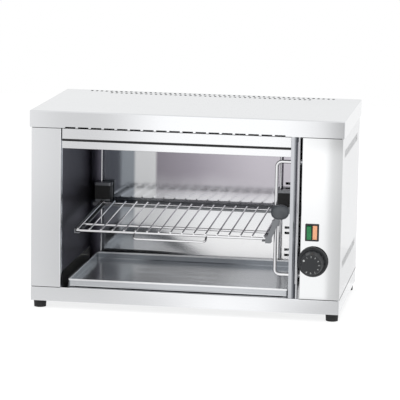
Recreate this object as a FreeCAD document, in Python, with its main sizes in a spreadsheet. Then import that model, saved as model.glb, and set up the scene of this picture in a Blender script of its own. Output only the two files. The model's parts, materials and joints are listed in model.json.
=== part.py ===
import FreeCAD, Part
import math
import os

import Sketcher

# Open-front electric salamander toaster in stainless sheet.
# Millimetres, +X to the right, +Y to the back, +Z up. The frame's origin lies on the surface that the
# toaster stands on, under the middle of its overall length and width.

SIZES = {
    # casing
    "width": 600.0,
    "depth": 340.0,
    "height": 383.0,
    "sheet": 1.2,
    "bend": 2.0,
    "lid_overhang": 3.0,
    "lid_band": 32.0,
    "base_band": 27.5,
    "pillar_width": 58.0,
    "panel_width": 76.0,
    "panel_seam": 3.8,
    "rear_flange": 12.0,
    "pillar_return": 14.0,
    "panel_return": 8.0,
    "lid_front_start": 8.0,
    "lid_front_notch": 20.0,
    "lid_front_pitch": 25.0,
    "lid_front_rise": 2.5,
    "lid_vent_width": 4.5,
    "lid_vent_length": 12.0,
    "lid_vent_pitch": 10.0,
    "lid_vent_edge": 16.0,
    "lid_vent_row_gap": 22.0,
    "louvre_width": 3.0,
    "louvre_height": 14.0,
    "louvre_pitch": 8.0,
    "louvre_top_drop": 68.0,
    "louvre_base_rise": 62.0,
    # jamb beside the opening
    "jamb_face": 7.0,
    "jamb_bevel": 5.0,
    "jamb_return": 8.0,
    "jamb_lap": 12.0,
    "trim_width": 4.0,
    "trim_depth": 10.0,
    "trim_nose": 1.8,
    # feet
    "foot_height": 15.0,
    "foot_diameter": 25.0,
    "foot_taper": 1.0,
    "foot_inset": 14.5,
    "foot_setback": 20.0,
    "plate_recess": 2.0,
    "foot_screw": 4.0,
    "foot_screw_head": 8.0,
    "foot_screw_gap": 1.0,
    # cavity
    "back_gap": 22.0,
    "liner_corner": 20.0,
    "liner_notch_gap": 2.0,
    "hood_drop": 11.0,
    "tray_bay": 27.5,
    "slot_width": 12.0,
    "slot_height": 5.0,
    "slot_step": 11.0,
    "slot_pitch": 45.0,
    "slot_base_rise": 22.5,
    "slot_inset": 52.0,
    # hood
    "fascia_drop": 1.0,
    "fascia_height": 20.0,
    "fascia_gap": 4.0,
    "fascia_depth": 14.0,
    "fascia_end_gap": 2.0,
    "lip_height": 14.0,
    "lip_depth": 17.0,
    "lip_hem": 6.0,
    "strip_bend": 1.0,
    # heating elements
    "tube": 6.6,
    "tube_loop": 50.0,
    "tube_drop": 18.0,
    "tube_end_gap": 30.0,
    "tube_tail": 12.0,
    "tube_bend": 24.0,
    "collar_wall": 1.5,
    "collar_length": 8.0,
    "pin": 3.5,
    "pin_length": 10.0,
    "element_setback": 57.0,
    "element_pitch": 120.0,
    "hanger_inset": 52.0,
    "hanger_depth": 12.0,
    "hanger_tab": 10.0,
    # rack lift
    "rod": 5.0,
    "rod_wall_gap": 10.0,
    "rod_left_inset": 20.2,
    "rod_right_inset": 66.5,
    "rod_floor": 2.0,
    "rod_top_drop": 33.5,
    "clip_height": 8.0,
    "clip_half": 6.0,
    "clip_tab": 10.0,
    "clip_drop": 1.0,
    "slider_width": 37.0,
    "slider_height": 40.0,
    "slider_ear": 6.0,
    "slider_reach": 15.0,
    "slider_web": 2.5,
    "slider_back_gap": 4.0,
    "slider_round": 4.8,
    "slider_rise": 118.5,
    "slider_left_reach": 14.0,
    "slider_right_reach": 7.0,
    "bush_inset": 3.0,
    "bush_setback": 1.5,
    "bar_height": 7.0,
    "bar_depth": 10.0,
    "bar_lead": 3.0,
    "front_rod": 6.6,
    "front_rod_setback": 17.0,
    "front_rod_offset": 40.0,
    "front_rod_rise": 42.5,
    "front_rod_drop": 39.0,
    "front_rod_bend": 10.0,
    "front_rod_tail": 8.0,
    "rod_nut_corner": 6.0,
    "rod_nut_length": 5.0,
    "arm_plate": 3.0,
    "arm_width": 9.0,
    "arm_round": 4.0,
    "arm_gap": 1.0,
    "lug_width": 12.5,
    "lug_height": 13.0,
    "lug_round": 4.0,
    "eye_half_width": 7.0,
    "eye_half_height": 5.0,
    "eye_wall": 2.5,
    "ball_width": 34.0,
    "ball_height": 27.0,
    "ball_round": 12.5,
    "ball_flat": 3.0,
    "ball_offset": 10.0,
    "ball_rise": 165.5,
    # wire rack
    "rack_height": 110.5,
    "rack_rise": 12.0,
    "rack_setback": 27.0,
    "rack_left_gap": 26.2,
    "rack_right_gap": 60.5,
    "rack_back_gap": 2.0,
    "rack_side_gap": 1.5,
    "wire": 3.2,
    "cross_wire": 5.0,
    "wire_side_inset": 3.1,
    "cross_wire_inset": 57.0,
    "weld_sink": 0.6,
    "rail_plate": 2.0,
    "rail_ledge": 8.0,
    "rail_height": 9.0,
    "loop_width": 139.0,
    "loop_reach": 18.0,
    "loop_wire": 4.0,
    "loop_bend": 7.0,
    "loop_angle": 28.0,
    # drip tray
    "tray_left_gap": 14.0,
    "tray_height": 14.0,
    "tray_setback": 12.0,
    "tray_back_gap": 20.0,
    "tray_hem": 3.0,
    "tray_corner": 4.0,
    "runner_width": 12.0,
    "runner_height": 9.0,
    "runner_end_gap": 6.0,
    # controls
    "knob_height": 73.0,
    "knob_inset": 25.0,
    "knob_diameter": 57.0,
    "knob_skirt": 6.0,
    "skirt_slope": 2.0,
    "skirt_slope_depth": 3.0,
    "cap_diameter": 47.0,
    "cap_length": 26.0,
    "cap_taper": 4.0,
    "cap_chamfer": 1.5,
    "knob_gap": 3.5,
    "knob_bore_depth": 20.0,
    "flute": 7.0,
    "flute_offset": 1.9,
    "flute_stop": 2.0,
    "pointer_dot": 3.8,
    "pointer_ring": 15.6,
    "pointer_angle": 60.0,
    "pointer_rise": 0.8,
    "shaft": 6.0,
    "shaft_tail": 16.0,
    "neck": 10.0,
    "neck_reach": 2.6,
    "neck_nut_corner": 8.5,
    "neck_nut_length": 2.0,
    "regulator_size": 42.0,
    "regulator_depth": 30.0,
    "regulator_round": 3.0,
    "blade_width": 6.3,
    "blade_plate": 0.8,
    "blade_length": 9.0,
    "blade_pitch": 12.5,
    "blade_rise": 10.5,
    "bezel_width": 26.0,
    "bezel_height": 33.0,
    "bezel_plate": 2.0,
    "bezel_round": 1.5,
    "switch_width": 22.0,
    "switch_height": 30.0,
    "switch_depth": 26.0,
    "switch_rise": 128.5,
    "switch_inset": 22.0,
    "switch_blade_pitch": 8.0,
    "recess_half_height": 13.5,
    "recess_depth": 9.0,
    "recess_rib": 1.0,
    "recess_side": 10.0,
    "rocker_half_height": 12.6,
    "rocker_tip": 5.6,
    "rocker_dip": 4.2,
    "rocker_root": 0.5,
    "rocker_belly": 3.0,
    "rocker_tilt": 9.0,
    "rocker_pin": 2.0,
    "rocker_pin_bite": 0.7,
    "pivot_setback": 3.0,
    "lens_rise": 1.5,
    "lens_round": 1.2,
    # mains inlet
    "gland_bore": 8.0,
    "gland_thread": 16.0,
    "gland_flange": 22.0,
    "gland_flange_plate": 4.0,
    "gland_reach": 15.0,
    "gland_inner": 8.0,
    "gland_step": 1.0,
    "gland_nose": 3.0,
    "gland_nose_length": 2.0,
    "gland_nut_corner": 12.5,
    "gland_nut_length": 4.0,
    "gland_rise": 36.0,
    "gland_from_side": 42.0,
    "block_width": 42.0,
    "block_height": 18.0,
    "block_depth": 16.0,
    "block_rise": 90.0,
    "block_pitch": 10.0,
    "block_way": 4.0,
    "block_way_depth": 12.5,
    "screw": 3.5,
    "screw_head": 7.0,
    "screw_inset": 6.5,
    # fits
    "seat": 0.3,
    "slide_gap": 0.3,
    "turn_gap": 0.05,
}


# Numbers of repeated features
LID_NOTCHES = 17
LONG_VENTS = 50
SHORT_VENTS = 41
LOUVRES = 32
SLOT_PAIRS = 4
WIRE_GAPS = 16
FLUTES = 16
BLOCK_WAYS = 4

# Screw spots as parts of the panel's height and of half the width, and the shape of a screw head
REAR_SCREW_SPOTS = (0.1, 0.5, 0.85)
LID_SCREW_SPOTS = (-0.6, 0, 0.6)
CROWN = 0.3
CROWN_ROUND = 0.12


class Size:
    """A length with its number and the sheet formula that gives it."""

    def __init__(self, value, text):
        self.value = value
        self.text = text

    def join(self, other, sign, value):
        return Size(value, "(%s %s %s)" % (self.text, sign, as_size(other).text))

    def __add__(self, other):
        return self.join(other, "+", self.value + as_size(other).value)

    def __sub__(self, other):
        return self.join(other, "-", self.value - as_size(other).value)

    def __mul__(self, other):
        return self.join(other, "*", self.value * as_size(other).value)

    def __truediv__(self, other):
        return self.join(other, "/", self.value / as_size(other).value)

    def __neg__(self):
        return Size(-self.value, "(-1 * %s)" % self.text)


def as_size(thing):
    """Turn a plain number into a Size."""
    if isinstance(thing, Size):
        return thing
    return Size(float(thing), "%.6g" % thing)


doc = FreeCAD.newDocument("salamander_toaster")
sheet = doc.addObject("Spreadsheet::Sheet", "Sizes")
for row, (alias, number) in enumerate(SIZES.items(), start=1):
    sheet.set("A%d" % row, alias)
    sheet.set("B%d" % row, "%g" % number)
    sheet.setAlias("B%d" % row, alias)
doc.recompute()


def size(alias):
    """The named size from the sheet."""
    return Size(SIZES[alias], "Sizes." + alias)


def cosine(alias):
    """Cosine of an angle from the sheet."""
    return Size(math.cos(math.radians(SIZES[alias])), "cos(Sizes.%s)" % alias)


def sine(alias):
    """Sine of an angle from the sheet."""
    return Size(math.sin(math.radians(SIZES[alias])), "sin(Sizes.%s)" % alias)


ZERO = as_size(0)
T = size("sheet")
SEAT = size("seat")
# A cut starts and ends this far outside its sheet
OVER = as_size(1)

# Casing planes
HALF_W = size("width") / 2 - size("lid_overhang")
FRONT = -(size("depth") / 2 - size("lid_overhang"))
BACK = size("depth") / 2 - size("lid_overhang")
BASE_Z = size("foot_height")
BASE_TOP = size("foot_height") + size("base_band")
LID_UNDER = size("height") - T
LID_SKIRT = size("height") - size("lid_band")
PILLAR_X = size("pillar_width") - HALF_W
PANEL_X = HALF_W - size("panel_width")
PLATE_Z = BASE_Z + size("plate_recess")

# Cavity planes
CAVITY_LEFT = PILLAR_X - T
TRIM_RIGHT = PANEL_X - size("panel_seam")
TRIM_LEFT = TRIM_RIGHT - size("trim_width")
CAVITY_RIGHT = TRIM_LEFT - T
OPENING_RIGHT = CAVITY_RIGHT - size("jamb_face") - size("jamb_bevel")
CAVITY_BACK = BACK - size("back_gap")
LINER_TOP = LID_SKIRT - size("hood_drop")
WALL_FOOT = BASE_TOP + size("tray_bay")

# Hood levels
FASCIA_TOP = LID_SKIRT - size("fascia_drop")
FASCIA_BASE = FASCIA_TOP - size("fascia_height")
LIP_TOP = FASCIA_BASE - size("fascia_gap")
LIP_BASE = LIP_TOP - size("lip_height")
TUBE_Z = LINER_TOP - size("tube_drop")

# Rear guide rods and sliders
ROD_Y = CAVITY_BACK - size("rod_wall_gap")
ROD_BASE = BASE_TOP + size("rod_floor")
ROD_TOP = LINER_TOP - size("rod_top_drop")
ROD_XS = {
    "left": CAVITY_LEFT + size("rod_left_inset"),
    "right": CAVITY_RIGHT - size("rod_right_inset"),
}
SLIDER_XS = {
    "left": ROD_XS["left"] - size("slider_left_reach"),
    "right": ROD_XS["right"] - size("slider_right_reach"),
}
SLIDER_BACK = CAVITY_BACK - size("slider_back_gap")
SLIDER_FRONT = ROD_Y - size("slider_reach")
SLIDER_BASE = BASE_TOP + size("slider_rise")
SLIDER_TOP = SLIDER_BASE + size("slider_height")
BAR_BASE = SLIDER_BASE - size("bar_height")
BAR_FRONT = SLIDER_FRONT - size("bar_lead")
RAIL_BACK = SLIDER_FRONT - SEAT

# Rack: the long wires rise towards the back by rack_rise
RACK_Y = FRONT + size("rack_setback")
RACK_Z = BASE_TOP + size("rack_height")
RACK_DEPTH = BAR_FRONT - RACK_Y - size("rack_back_gap")
RACK_LEFT = CAVITY_LEFT + size("rack_left_gap")
RACK_RIGHT = CAVITY_RIGHT - size("rack_right_gap")
WIRE_PITCH = (RACK_RIGHT - RACK_LEFT - size("wire_side_inset") * 2) / WIRE_GAPS
SLOPE = size("rack_rise") / RACK_DEPTH
TILT = Size(math.degrees(math.atan(SLOPE.value)), "atan(%s)" % SLOPE.text)
CROSS_DROP = size("wire") / 2 + size("cross_wire") / 2 - size("weld_sink")
LEDGE_DROP = CROSS_DROP + size("cross_wire") / 2 + size("slide_gap")
RAIL_LEFT = RACK_LEFT - size("rack_side_gap")
RAIL_RIGHT = RACK_RIGHT + size("rack_side_gap")

# Front guide rod and handle
FRONT_ROD_X = CAVITY_RIGHT - size("front_rod_offset")
FRONT_ROD_Y = FRONT + size("front_rod_setback")
FRONT_ROD_BASE = BASE_TOP + size("front_rod_rise")
FRONT_ROD_TOP = LINER_TOP - size("front_rod_drop")
FRONT_ROD_END = CAVITY_RIGHT + T + size("front_rod_tail")
ARM_BACK = FRONT_ROD_Y - size("front_rod") / 2 - size("arm_gap")
ARM_FRONT = ARM_BACK - size("arm_plate")
LUG_BASE = RACK_Z - LEDGE_DROP - size("rail_plate") - size("weld_sink")
ARM_START = (RAIL_RIGHT + size("lug_width") / 2, LUG_BASE + size("lug_height") / 2)
BALL_X = FRONT_ROD_X + size("ball_offset")
BALL_Z = BASE_TOP + size("ball_rise")
ARM_RUN = BALL_X - ARM_START[0]
ARM_RISE = BALL_Z - ARM_START[1]
ARM_ANGLE = Size(-math.degrees(math.atan(ARM_RISE.value / ARM_RUN.value)),
                 "(-1 * atan(%s / %s))" % (ARM_RISE.text, ARM_RUN.text))
ARM_LENGTH = Size(math.hypot(ARM_RUN.value, ARM_RISE.value),
                  "sqrt(%s ^ 2 + %s ^ 2)" % (ARM_RUN.text, ARM_RISE.text))
EYE_Z = ARM_START[1] + ARM_RISE * (FRONT_ROD_X - ARM_START[0]) / ARM_RUN

# Tray places
TRAY_RIGHT = OPENING_RIGHT - T - SEAT
TRAY_LEFT = PILLAR_X + size("tray_left_gap")
TRAY_FRONT = FRONT + size("tray_setback")
TRAY_BACK = CAVITY_BACK - size("tray_back_gap")
TRAY_BASE = BASE_TOP + T + size("slide_gap")
TRAY_TOP = TRAY_BASE + size("tray_height")

# Control places
KNOB_X = PANEL_X + size("knob_inset")
KNOB_Z = BASE_TOP + size("knob_height")
SKIRT_BACK = FRONT - size("knob_gap")
KNOB_FRONT = SKIRT_BACK - size("knob_skirt") - size("cap_length")
NECK_FRONT = FRONT - size("neck_reach")
SHAFT_BACK = FRONT + T + size("shaft_tail")
SWITCH_X = PANEL_X + size("switch_inset")
SWITCH_Z = BASE_TOP + size("switch_rise")
RECESS_FLOOR = FRONT - size("bezel_plate") + size("recess_depth")
PIVOT_Y = FRONT - size("bezel_plate") + size("pivot_setback")
GLAND_X = HALF_W - size("gland_from_side")
GLAND_Z = BASE_TOP + size("gland_rise")
BLOCK_Z = BASE_TOP + size("block_rise")

# The frame's origin is under the middle of the length over control knob and gland
KNOB_REACH = size("knob_gap") + size("knob_skirt") + size("cap_length") + size("pointer_rise")
FRAME_SHIFT = (KNOB_REACH - size("gland_reach")) / 2

parts = []


def bind(thing, path, length):
    """Tie a property to its sheet formula."""
    thing.setExpression(path, as_size(length).text)


def finish(label, item):
    """Name a sub-part, move it into the frame and list it."""
    item.Label = label
    bind(item, "Placement.Base.y", FRAME_SHIFT)
    parts.append(item)
    return item


def new_body(name):
    """An empty body for one sub-part."""
    return doc.addObject("PartDesign::Body", name)


def origin_feature(body, role):
    """A plane or axis of the body's own origin."""
    return [item for item in body.Origin.OriginFeatures if item.Role == role][0]


def new_sketch(body, role, offset=ZERO, tilt=0):
    """A sketch on an origin plane, moved along its normal by offset and tilted about its own x."""
    sketch = body.newObject("Sketcher::SketchObject", body.Name + "_sketch")
    sketch.AttachmentSupport = (origin_feature(body, role), "")
    sketch.MapMode = "FlatFace"
    tilt = as_size(tilt)
    turn = FreeCAD.Rotation(FreeCAD.Vector(1, 0, 0), tilt.value)
    place = FreeCAD.Vector(0, 0, as_size(offset).value)
    sketch.AttachmentOffset = FreeCAD.Placement(place, turn)
    bind(sketch, "AttachmentOffset.Base.z", offset)
    if tilt.value:
        bind(sketch, "AttachmentOffset.Rotation.Angle", tilt)
    return sketch


def fix_point(sketch, geometry, end, point):
    """Hold one end of a sketch line or arc at a place given by sheet formulas."""
    for kind, length in zip(("DistanceX", "DistanceY"), point):
        length = as_size(length)
        index = sketch.addConstraint(Sketcher.Constraint(kind, -1, 1, geometry, end, length.value))
        bind(sketch, "Constraints[%d]" % index, length)


def flat(point):
    """A sketch point as a vector."""
    return FreeCAD.Vector(as_size(point[0]).value, as_size(point[1]).value, 0)


def draw_loop(sketch, points):
    """A closed outline of straight lines."""
    count = len(points)
    first = sketch.GeometryCount
    for index in range(count):
        line = Part.LineSegment(flat(points[index]), flat(points[(index + 1) % count]))
        sketch.addGeometry(line, False)
    for index in range(count):
        following = first + (index + 1) % count
        sketch.addConstraint(Sketcher.Constraint("Coincident", first + index, 2, following, 1))
        fix_point(sketch, first + index, 1, points[index])


def draw_box(sketch, x0, x1, y0, y1):
    """A rectangle from its limits."""
    draw_loop(sketch, [(x0, y0), (x1, y0), (x1, y1), (x0, y1)])


def draw_circle(sketch, x, y, diameter):
    """A circle held at its centre."""
    diameter = as_size(diameter)
    circle = Part.Circle(flat((x, y)), FreeCAD.Vector(0, 0, 1), diameter.value / 2)
    index = sketch.addGeometry(circle, False)
    fix_point(sketch, index, 3, (x, y))
    limit = sketch.addConstraint(Sketcher.Constraint("Diameter", index, diameter.value))
    bind(sketch, "Constraints[%d]" % limit, diameter)


def pad(body, sketch, length, reverse=False, centred=False):
    """Extrude a sketch along its normal."""
    feature = body.newObject("PartDesign::Pad", body.Name + "_pad")
    feature.Profile = sketch
    feature.Length = as_size(length).value
    bind(feature, "Length", length)
    feature.Reversed = reverse
    feature.Midplane = centred
    doc.recompute()
    return feature


def pocket(body, sketch, length, reverse=False):
    """Cut a sketch into the body and make sure that it removed something."""
    before = body.Shape.Volume
    feature = body.newObject("PartDesign::Pocket", body.Name + "_pocket")
    feature.Profile = sketch
    feature.Length = as_size(length).value
    bind(feature, "Length", length)
    feature.Reversed = reverse
    doc.recompute()
    if feature.Shape.Volume > before - 0.01:
        raise RuntimeError("a pocket in %s removes nothing" % body.Name)
    return feature


def revolve(body, sketch, axis="V_Axis"):
    """Turn a sketch all the way round one of its own axes."""
    feature = body.newObject("PartDesign::Revolution", body.Name + "_revolution")
    feature.Profile = sketch
    feature.ReferenceAxis = (sketch, [axis])
    feature.Angle = 360
    doc.recompute()
    return feature


def repeat(body, feature, role, pitch, count):
    """Repeat a feature along an origin axis."""
    pattern = body.newObject("PartDesign::LinearPattern", body.Name + "_pattern")
    pattern.Originals = [feature]
    pattern.Direction = (origin_feature(body, role), [""])
    pattern.Mode = "Spacing"
    pattern.Offset = as_size(pitch).value
    bind(pattern, "Offset", pitch)
    pattern.Occurrences = round(count)
    body.Tip = pattern
    doc.recompute()
    return pattern


def straight_edges(shape, axis, spot):
    """Names of the straight edges along one axis at a spot given by the other two coordinates."""
    others = [letter for letter in "XYZ" if letter != axis]
    names = []
    for index, edge in enumerate(shape.Edges, start=1):
        box = edge.BoundBox
        if getattr(box, axis + "Length") < 0.5:
            continue
        if all(getattr(box, other + "Length") < 0.01
               and abs(getattr(box, other + "Min") - as_size(place).value) < 0.01
               for other, place in zip(others, spot)):
            names.append("Edge%d" % index)
    return names


def upright_edges(shape, x, y):
    """Names of the vertical edges that stand at one place in plan."""
    return straight_edges(shape, "Z", (x, y))


def level_edges(shape, z):
    """Names of the edges that lie at one height."""
    names = []
    for index, edge in enumerate(shape.Edges, start=1):
        box = edge.BoundBox
        if abs(box.ZMin - as_size(z).value) < 0.01 and box.ZLength < 0.01:
            names.append("Edge%d" % index)
    return names


def round_edges(body, names, radius):
    """Round the named edges of the body's last feature."""
    base = body.Tip
    feature = body.newObject("PartDesign::Fillet", body.Name + "_fillet")
    feature.Base = (base, names)
    feature.Radius = as_size(radius).value
    bind(feature, "Radius", radius)
    doc.recompute()
    return feature


def bend_corners(body, corners):
    """Round the outer and inner edge of each folded corner, given as (outer, inner) plan points."""
    outer = []
    inner = []
    for outside, inside in corners:
        outer += upright_edges(body.Shape, *outside)
    round_edges(body, outer, size("bend"))
    for outside, inside in corners:
        inner += upright_edges(body.Shape, *inside)
    round_edges(body, inner, size("bend") - T)


def bent_path(sketch, corners, radius):
    """An open path along the sketch axes with a quarter arc at each inner corner."""
    radius = as_size(radius)
    steps = []
    for start, end in zip(corners, corners[1:]):
        move = flat(end) - flat(start)
        steps.append((round(move.x / move.Length), round(move.y / move.Length)))
    stops = [corners[0]]
    for corner, came, goes in zip(corners[1:], steps, steps[1:]):
        stops.append((corner[0] - radius * came[0], corner[1] - radius * came[1]))
        stops.append((corner[0] + radius * goes[0], corner[1] + radius * goes[1]))
    stops.append(corners[-1])
    pieces = []
    for index, (start, end) in enumerate(zip(stops, stops[1:])):
        a, b = flat(start), flat(end)
        if index % 2 == 0:
            pieces.append(Part.LineSegment(a, b))
            continue
        came, goes = steps[index // 2], steps[index // 2 + 1]
        corner = flat(corners[index // 2 + 1])
        centre = a + b - corner
        middle = centre + (corner - centre) / math.sqrt(2)
        pieces.append(Part.Arc(a, middle, b))
    for piece in pieces:
        sketch.addGeometry(piece, False)
    for index in range(0, len(pieces), 2):
        fix_point(sketch, index, 1, stops[index])
        fix_point(sketch, index, 2, stops[index + 1])
    for index in range(1, len(pieces), 2):
        came, goes = steps[index // 2], steps[index // 2 + 1]
        head, tail = (1, 2) if came[0] * goes[1] > came[1] * goes[0] else (2, 1)
        sketch.addConstraint(Sketcher.Constraint("Tangent", index - 1, 2, index, head))
        sketch.addConstraint(Sketcher.Constraint("Coincident", index, tail, index + 1, 1))


def pipe(body, profile, spine):
    """Sweep a round section along a path."""
    feature = body.newObject("PartDesign::AdditivePipe", body.Name + "_pipe")
    feature.Profile = profile
    feature.Spine = (spine, [])
    doc.recompute()
    return feature


def corner_edges(shape, half_w, half_d):
    """Names of the four upright edges of a box centred on the origin."""
    names = []
    for x in (-half_w, half_w):
        for y in (-half_d, half_d):
            names += upright_edges(shape, x, y)
    return names


def folded_pan(body, half_w, half_d, low, high):
    """An inverted pan of sheet between two heights, with bends at its corners and round its top."""
    sketch = new_sketch(body, "XY_Plane", low)
    draw_box(sketch, -half_w, half_w, -half_d, half_d)
    pad(body, sketch, high - low)
    sketch = new_sketch(body, "XY_Plane", low)
    draw_box(sketch, T - half_w, half_w - T, T - half_d, half_d - T)
    pocket(body, sketch, high - low - T, reverse=True)
    outer = corner_edges(body.Shape, half_w, half_d) + level_edges(body.Shape, high)
    round_edges(body, outer, size("bend"))
    inner = corner_edges(body.Shape, half_w - T, half_d - T) + level_edges(body.Shape, high - T)
    round_edges(body, inner, size("bend") - T)


def add_top_cover():
    """Lid: a folded pan with an air slot row in its front band and two vent rows at the back."""
    body = new_body("top_cover")
    half_w, half_d = size("width") / 2, size("depth") / 2
    folded_pan(body, half_w, half_d, LID_SKIRT, size("height"))
    first = PILLAR_X + size("lid_front_start")
    sketch = new_sketch(body, "XZ_Plane", half_d + OVER)
    draw_box(sketch, first, first + size("lid_front_notch"), LID_SKIRT - OVER,
             LID_SKIRT + size("lid_front_rise"))
    notch = pocket(body, sketch, T + OVER * 2)
    repeat(body, notch, "X_Axis", size("lid_front_pitch"), LID_NOTCHES)
    edge = size("lid_vent_edge")
    for count, inset in ((LONG_VENTS, edge), (SHORT_VENTS, edge + size("lid_vent_row_gap"))):
        start = -(size("lid_vent_pitch") * (count - 1) / 2) - size("lid_vent_width") / 2
        sketch = new_sketch(body, "XY_Plane", size("height") + OVER)
        draw_box(sketch, start, start + size("lid_vent_width"),
                 half_d - inset - size("lid_vent_length") / 2, half_d - inset + size("lid_vent_length") / 2)
        vent = pocket(body, sketch, T + OVER * 2)
        repeat(body, vent, "X_Axis", size("lid_vent_pitch"), count)
    drill_back(body, lid_screw_places(), half_d + OVER, T + OVER * 2)
    finish("top_cover", body)


def add_casing_left():
    """Left side, folded round into the front pillar and a rear flange."""
    body = new_body("casing_left")
    flange = size("rear_flange")
    points = [
        (PILLAR_X, FRONT + size("pillar_return")), (PILLAR_X, FRONT), (-HALF_W, FRONT),
        (-HALF_W, BACK - T), (flange - HALF_W, BACK - T), (flange - HALF_W, BACK - T * 2),
        (T - HALF_W, BACK - T * 2), (T - HALF_W, FRONT + T), (PILLAR_X - T, FRONT + T),
        (PILLAR_X - T, FRONT + size("pillar_return")),
    ]
    sketch = new_sketch(body, "XY_Plane", BASE_TOP)
    draw_loop(sketch, points)
    pad(body, sketch, LID_UNDER - BASE_TOP)
    bend_corners(body, [(points[1], points[8]), (points[2], points[7]), (points[3], points[6])])
    drill_back(body, rear_screw_places()[:3], BACK, T * 2 + OVER)
    finish("casing_left", body)


def add_casing_right():
    """Right side with two rows of louvres and flanges at front and back."""
    body = new_body("casing_right")
    flange = size("rear_flange")
    points = [
        (HALF_W - flange, FRONT + T), (HALF_W, FRONT + T), (HALF_W, BACK - T),
        (HALF_W - flange, BACK - T), (HALF_W - flange, BACK - T * 2), (HALF_W - T, BACK - T * 2),
        (HALF_W - T, FRONT + T * 2), (HALF_W - flange, FRONT + T * 2),
    ]
    sketch = new_sketch(body, "XY_Plane", BASE_TOP)
    draw_loop(sketch, points)
    pad(body, sketch, LID_UNDER - BASE_TOP)
    bend_corners(body, [(points[1], points[6]), (points[2], points[5])])
    start = -(size("louvre_pitch") * (LOUVRES - 1) / 2) - size("louvre_width") / 2
    for middle in (size("height") - size("louvre_top_drop"), BASE_TOP + size("louvre_base_rise")):
        sketch = new_sketch(body, "YZ_Plane", HALF_W + OVER)
        draw_box(sketch, start, start + size("louvre_width"),
                 middle - size("louvre_height") / 2, middle + size("louvre_height") / 2)
        louvre = pocket(body, sketch, T + OVER * 2)
        repeat(body, louvre, "Y_Axis", size("louvre_pitch"), LOUVRES)
    drill_back(body, rear_screw_places()[3:], BACK, T * 2 + OVER)
    finish("casing_right", body)


def add_control_panel():
    """Front plate right of the opening with the switch cut-out and the shaft hole."""
    body = new_body("control_panel")
    points = [
        (PANEL_X, FRONT + size("panel_return")), (PANEL_X, FRONT), (HALF_W, FRONT), (HALF_W, FRONT + T),
        (PANEL_X + T, FRONT + T), (PANEL_X + T, FRONT + size("panel_return")),
    ]
    sketch = new_sketch(body, "XY_Plane", BASE_TOP)
    draw_loop(sketch, points)
    pad(body, sketch, LID_UNDER - BASE_TOP)
    bend_corners(body, [(points[1], points[4])])
    sketch = new_sketch(body, "XZ_Plane", OVER - FRONT)
    half_w, half_h = size("switch_width") / 2 + SEAT, size("switch_height") / 2 + SEAT
    draw_box(sketch, SWITCH_X - half_w, SWITCH_X + half_w, SWITCH_Z - half_h, SWITCH_Z + half_h)
    draw_circle(sketch, KNOB_X, KNOB_Z, size("neck") + SEAT * 2)
    pocket(body, sketch, T + OVER * 2)
    finish("control_panel", body)


def add_jamb_post():
    """Folded upright right of the opening: inner return, face, bevel and the leg that laps the liner."""
    body = new_body("jamb_post")
    face_end = OPENING_RIGHT + size("jamb_face")
    bevel = size("jamb_bevel")
    lap = FRONT + size("jamb_lap")
    points = [
        (OPENING_RIGHT, FRONT + size("jamb_return")), (OPENING_RIGHT, FRONT), (face_end, FRONT),
        (CAVITY_RIGHT, FRONT + bevel), (CAVITY_RIGHT, lap), (CAVITY_RIGHT - T, lap),
        (CAVITY_RIGHT - T, FRONT + bevel + T / 2), (face_end - T / 2, FRONT + T),
        (OPENING_RIGHT + T, FRONT + T), (OPENING_RIGHT + T, FRONT + size("jamb_return")),
    ]
    sketch = new_sketch(body, "XY_Plane", BASE_TOP)
    draw_loop(sketch, points)
    pad(body, sketch, LID_UNDER - BASE_TOP)
    finish("jamb_post", body)


def add_trim_bead():
    """Round-nosed trim strip between the jamb and the control panel."""
    body = new_body("trim_bead")
    sketch = new_sketch(body, "XY_Plane", BASE_TOP)
    draw_box(sketch, TRIM_LEFT, TRIM_RIGHT, FRONT, FRONT + size("trim_depth"))
    pad(body, sketch, LID_UNDER - BASE_TOP)
    nose = upright_edges(body.Shape, TRIM_LEFT, FRONT) + upright_edges(body.Shape, TRIM_RIGHT, FRONT)
    round_edges(body, nose, size("trim_nose"))
    finish("trim_bead", body)


def add_base_frame():
    """Inverted pan under the whole casing; its front flange is the band below the opening."""
    body = new_body("base_frame")
    folded_pan(body, HALF_W, BACK, BASE_Z, BASE_TOP)
    finish("base_frame", body)


def foot_places():
    """Name, x and y of each foot."""
    x = HALF_W - size("foot_inset")
    y = BACK - size("foot_setback")
    return [("front_left", -x, -y), ("front_right", x, -y), ("rear_left", -x, y), ("rear_right", x, y)]


def add_bottom_plate():
    """Closing plate inside the base, with a hole over each foot."""
    body = new_body("bottom_plate")
    sketch = new_sketch(body, "XY_Plane", PLATE_Z)
    inset = T + SEAT
    draw_box(sketch, inset - HALF_W, HALF_W - inset, FRONT + inset, BACK - inset)
    for name, x, y in foot_places():
        draw_circle(sketch, x, y, size("foot_screw") + size("foot_screw_gap"))
    pad(body, sketch, T)
    finish("bottom_plate", body)


def add_feet():
    """Four rubber feet, each tapered and with a stepped hole for its screw."""
    for name, x, y in foot_places():
        body = new_body("foot_" + name)
        top, half = PLATE_Z, size("foot_diameter") / 2
        hole = (size("foot_screw") + size("foot_screw_gap")) / 2
        head = (size("foot_screw_head") + size("foot_screw_gap") * 2) / 2
        ledge = size("foot_height") / 2
        sketch = new_sketch(body, "XZ_Plane")
        draw_loop(sketch, [(hole, top), (half, top), (half - size("foot_taper"), ZERO), (head, ZERO),
                           (head, ledge), (hole, ledge)])
        revolve(body, sketch)
        finish("foot_" + name, body)
        bind(body, "Placement.Base.x", x)
        bind(body, "Placement.Base.y", y + FRAME_SHIFT)


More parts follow.
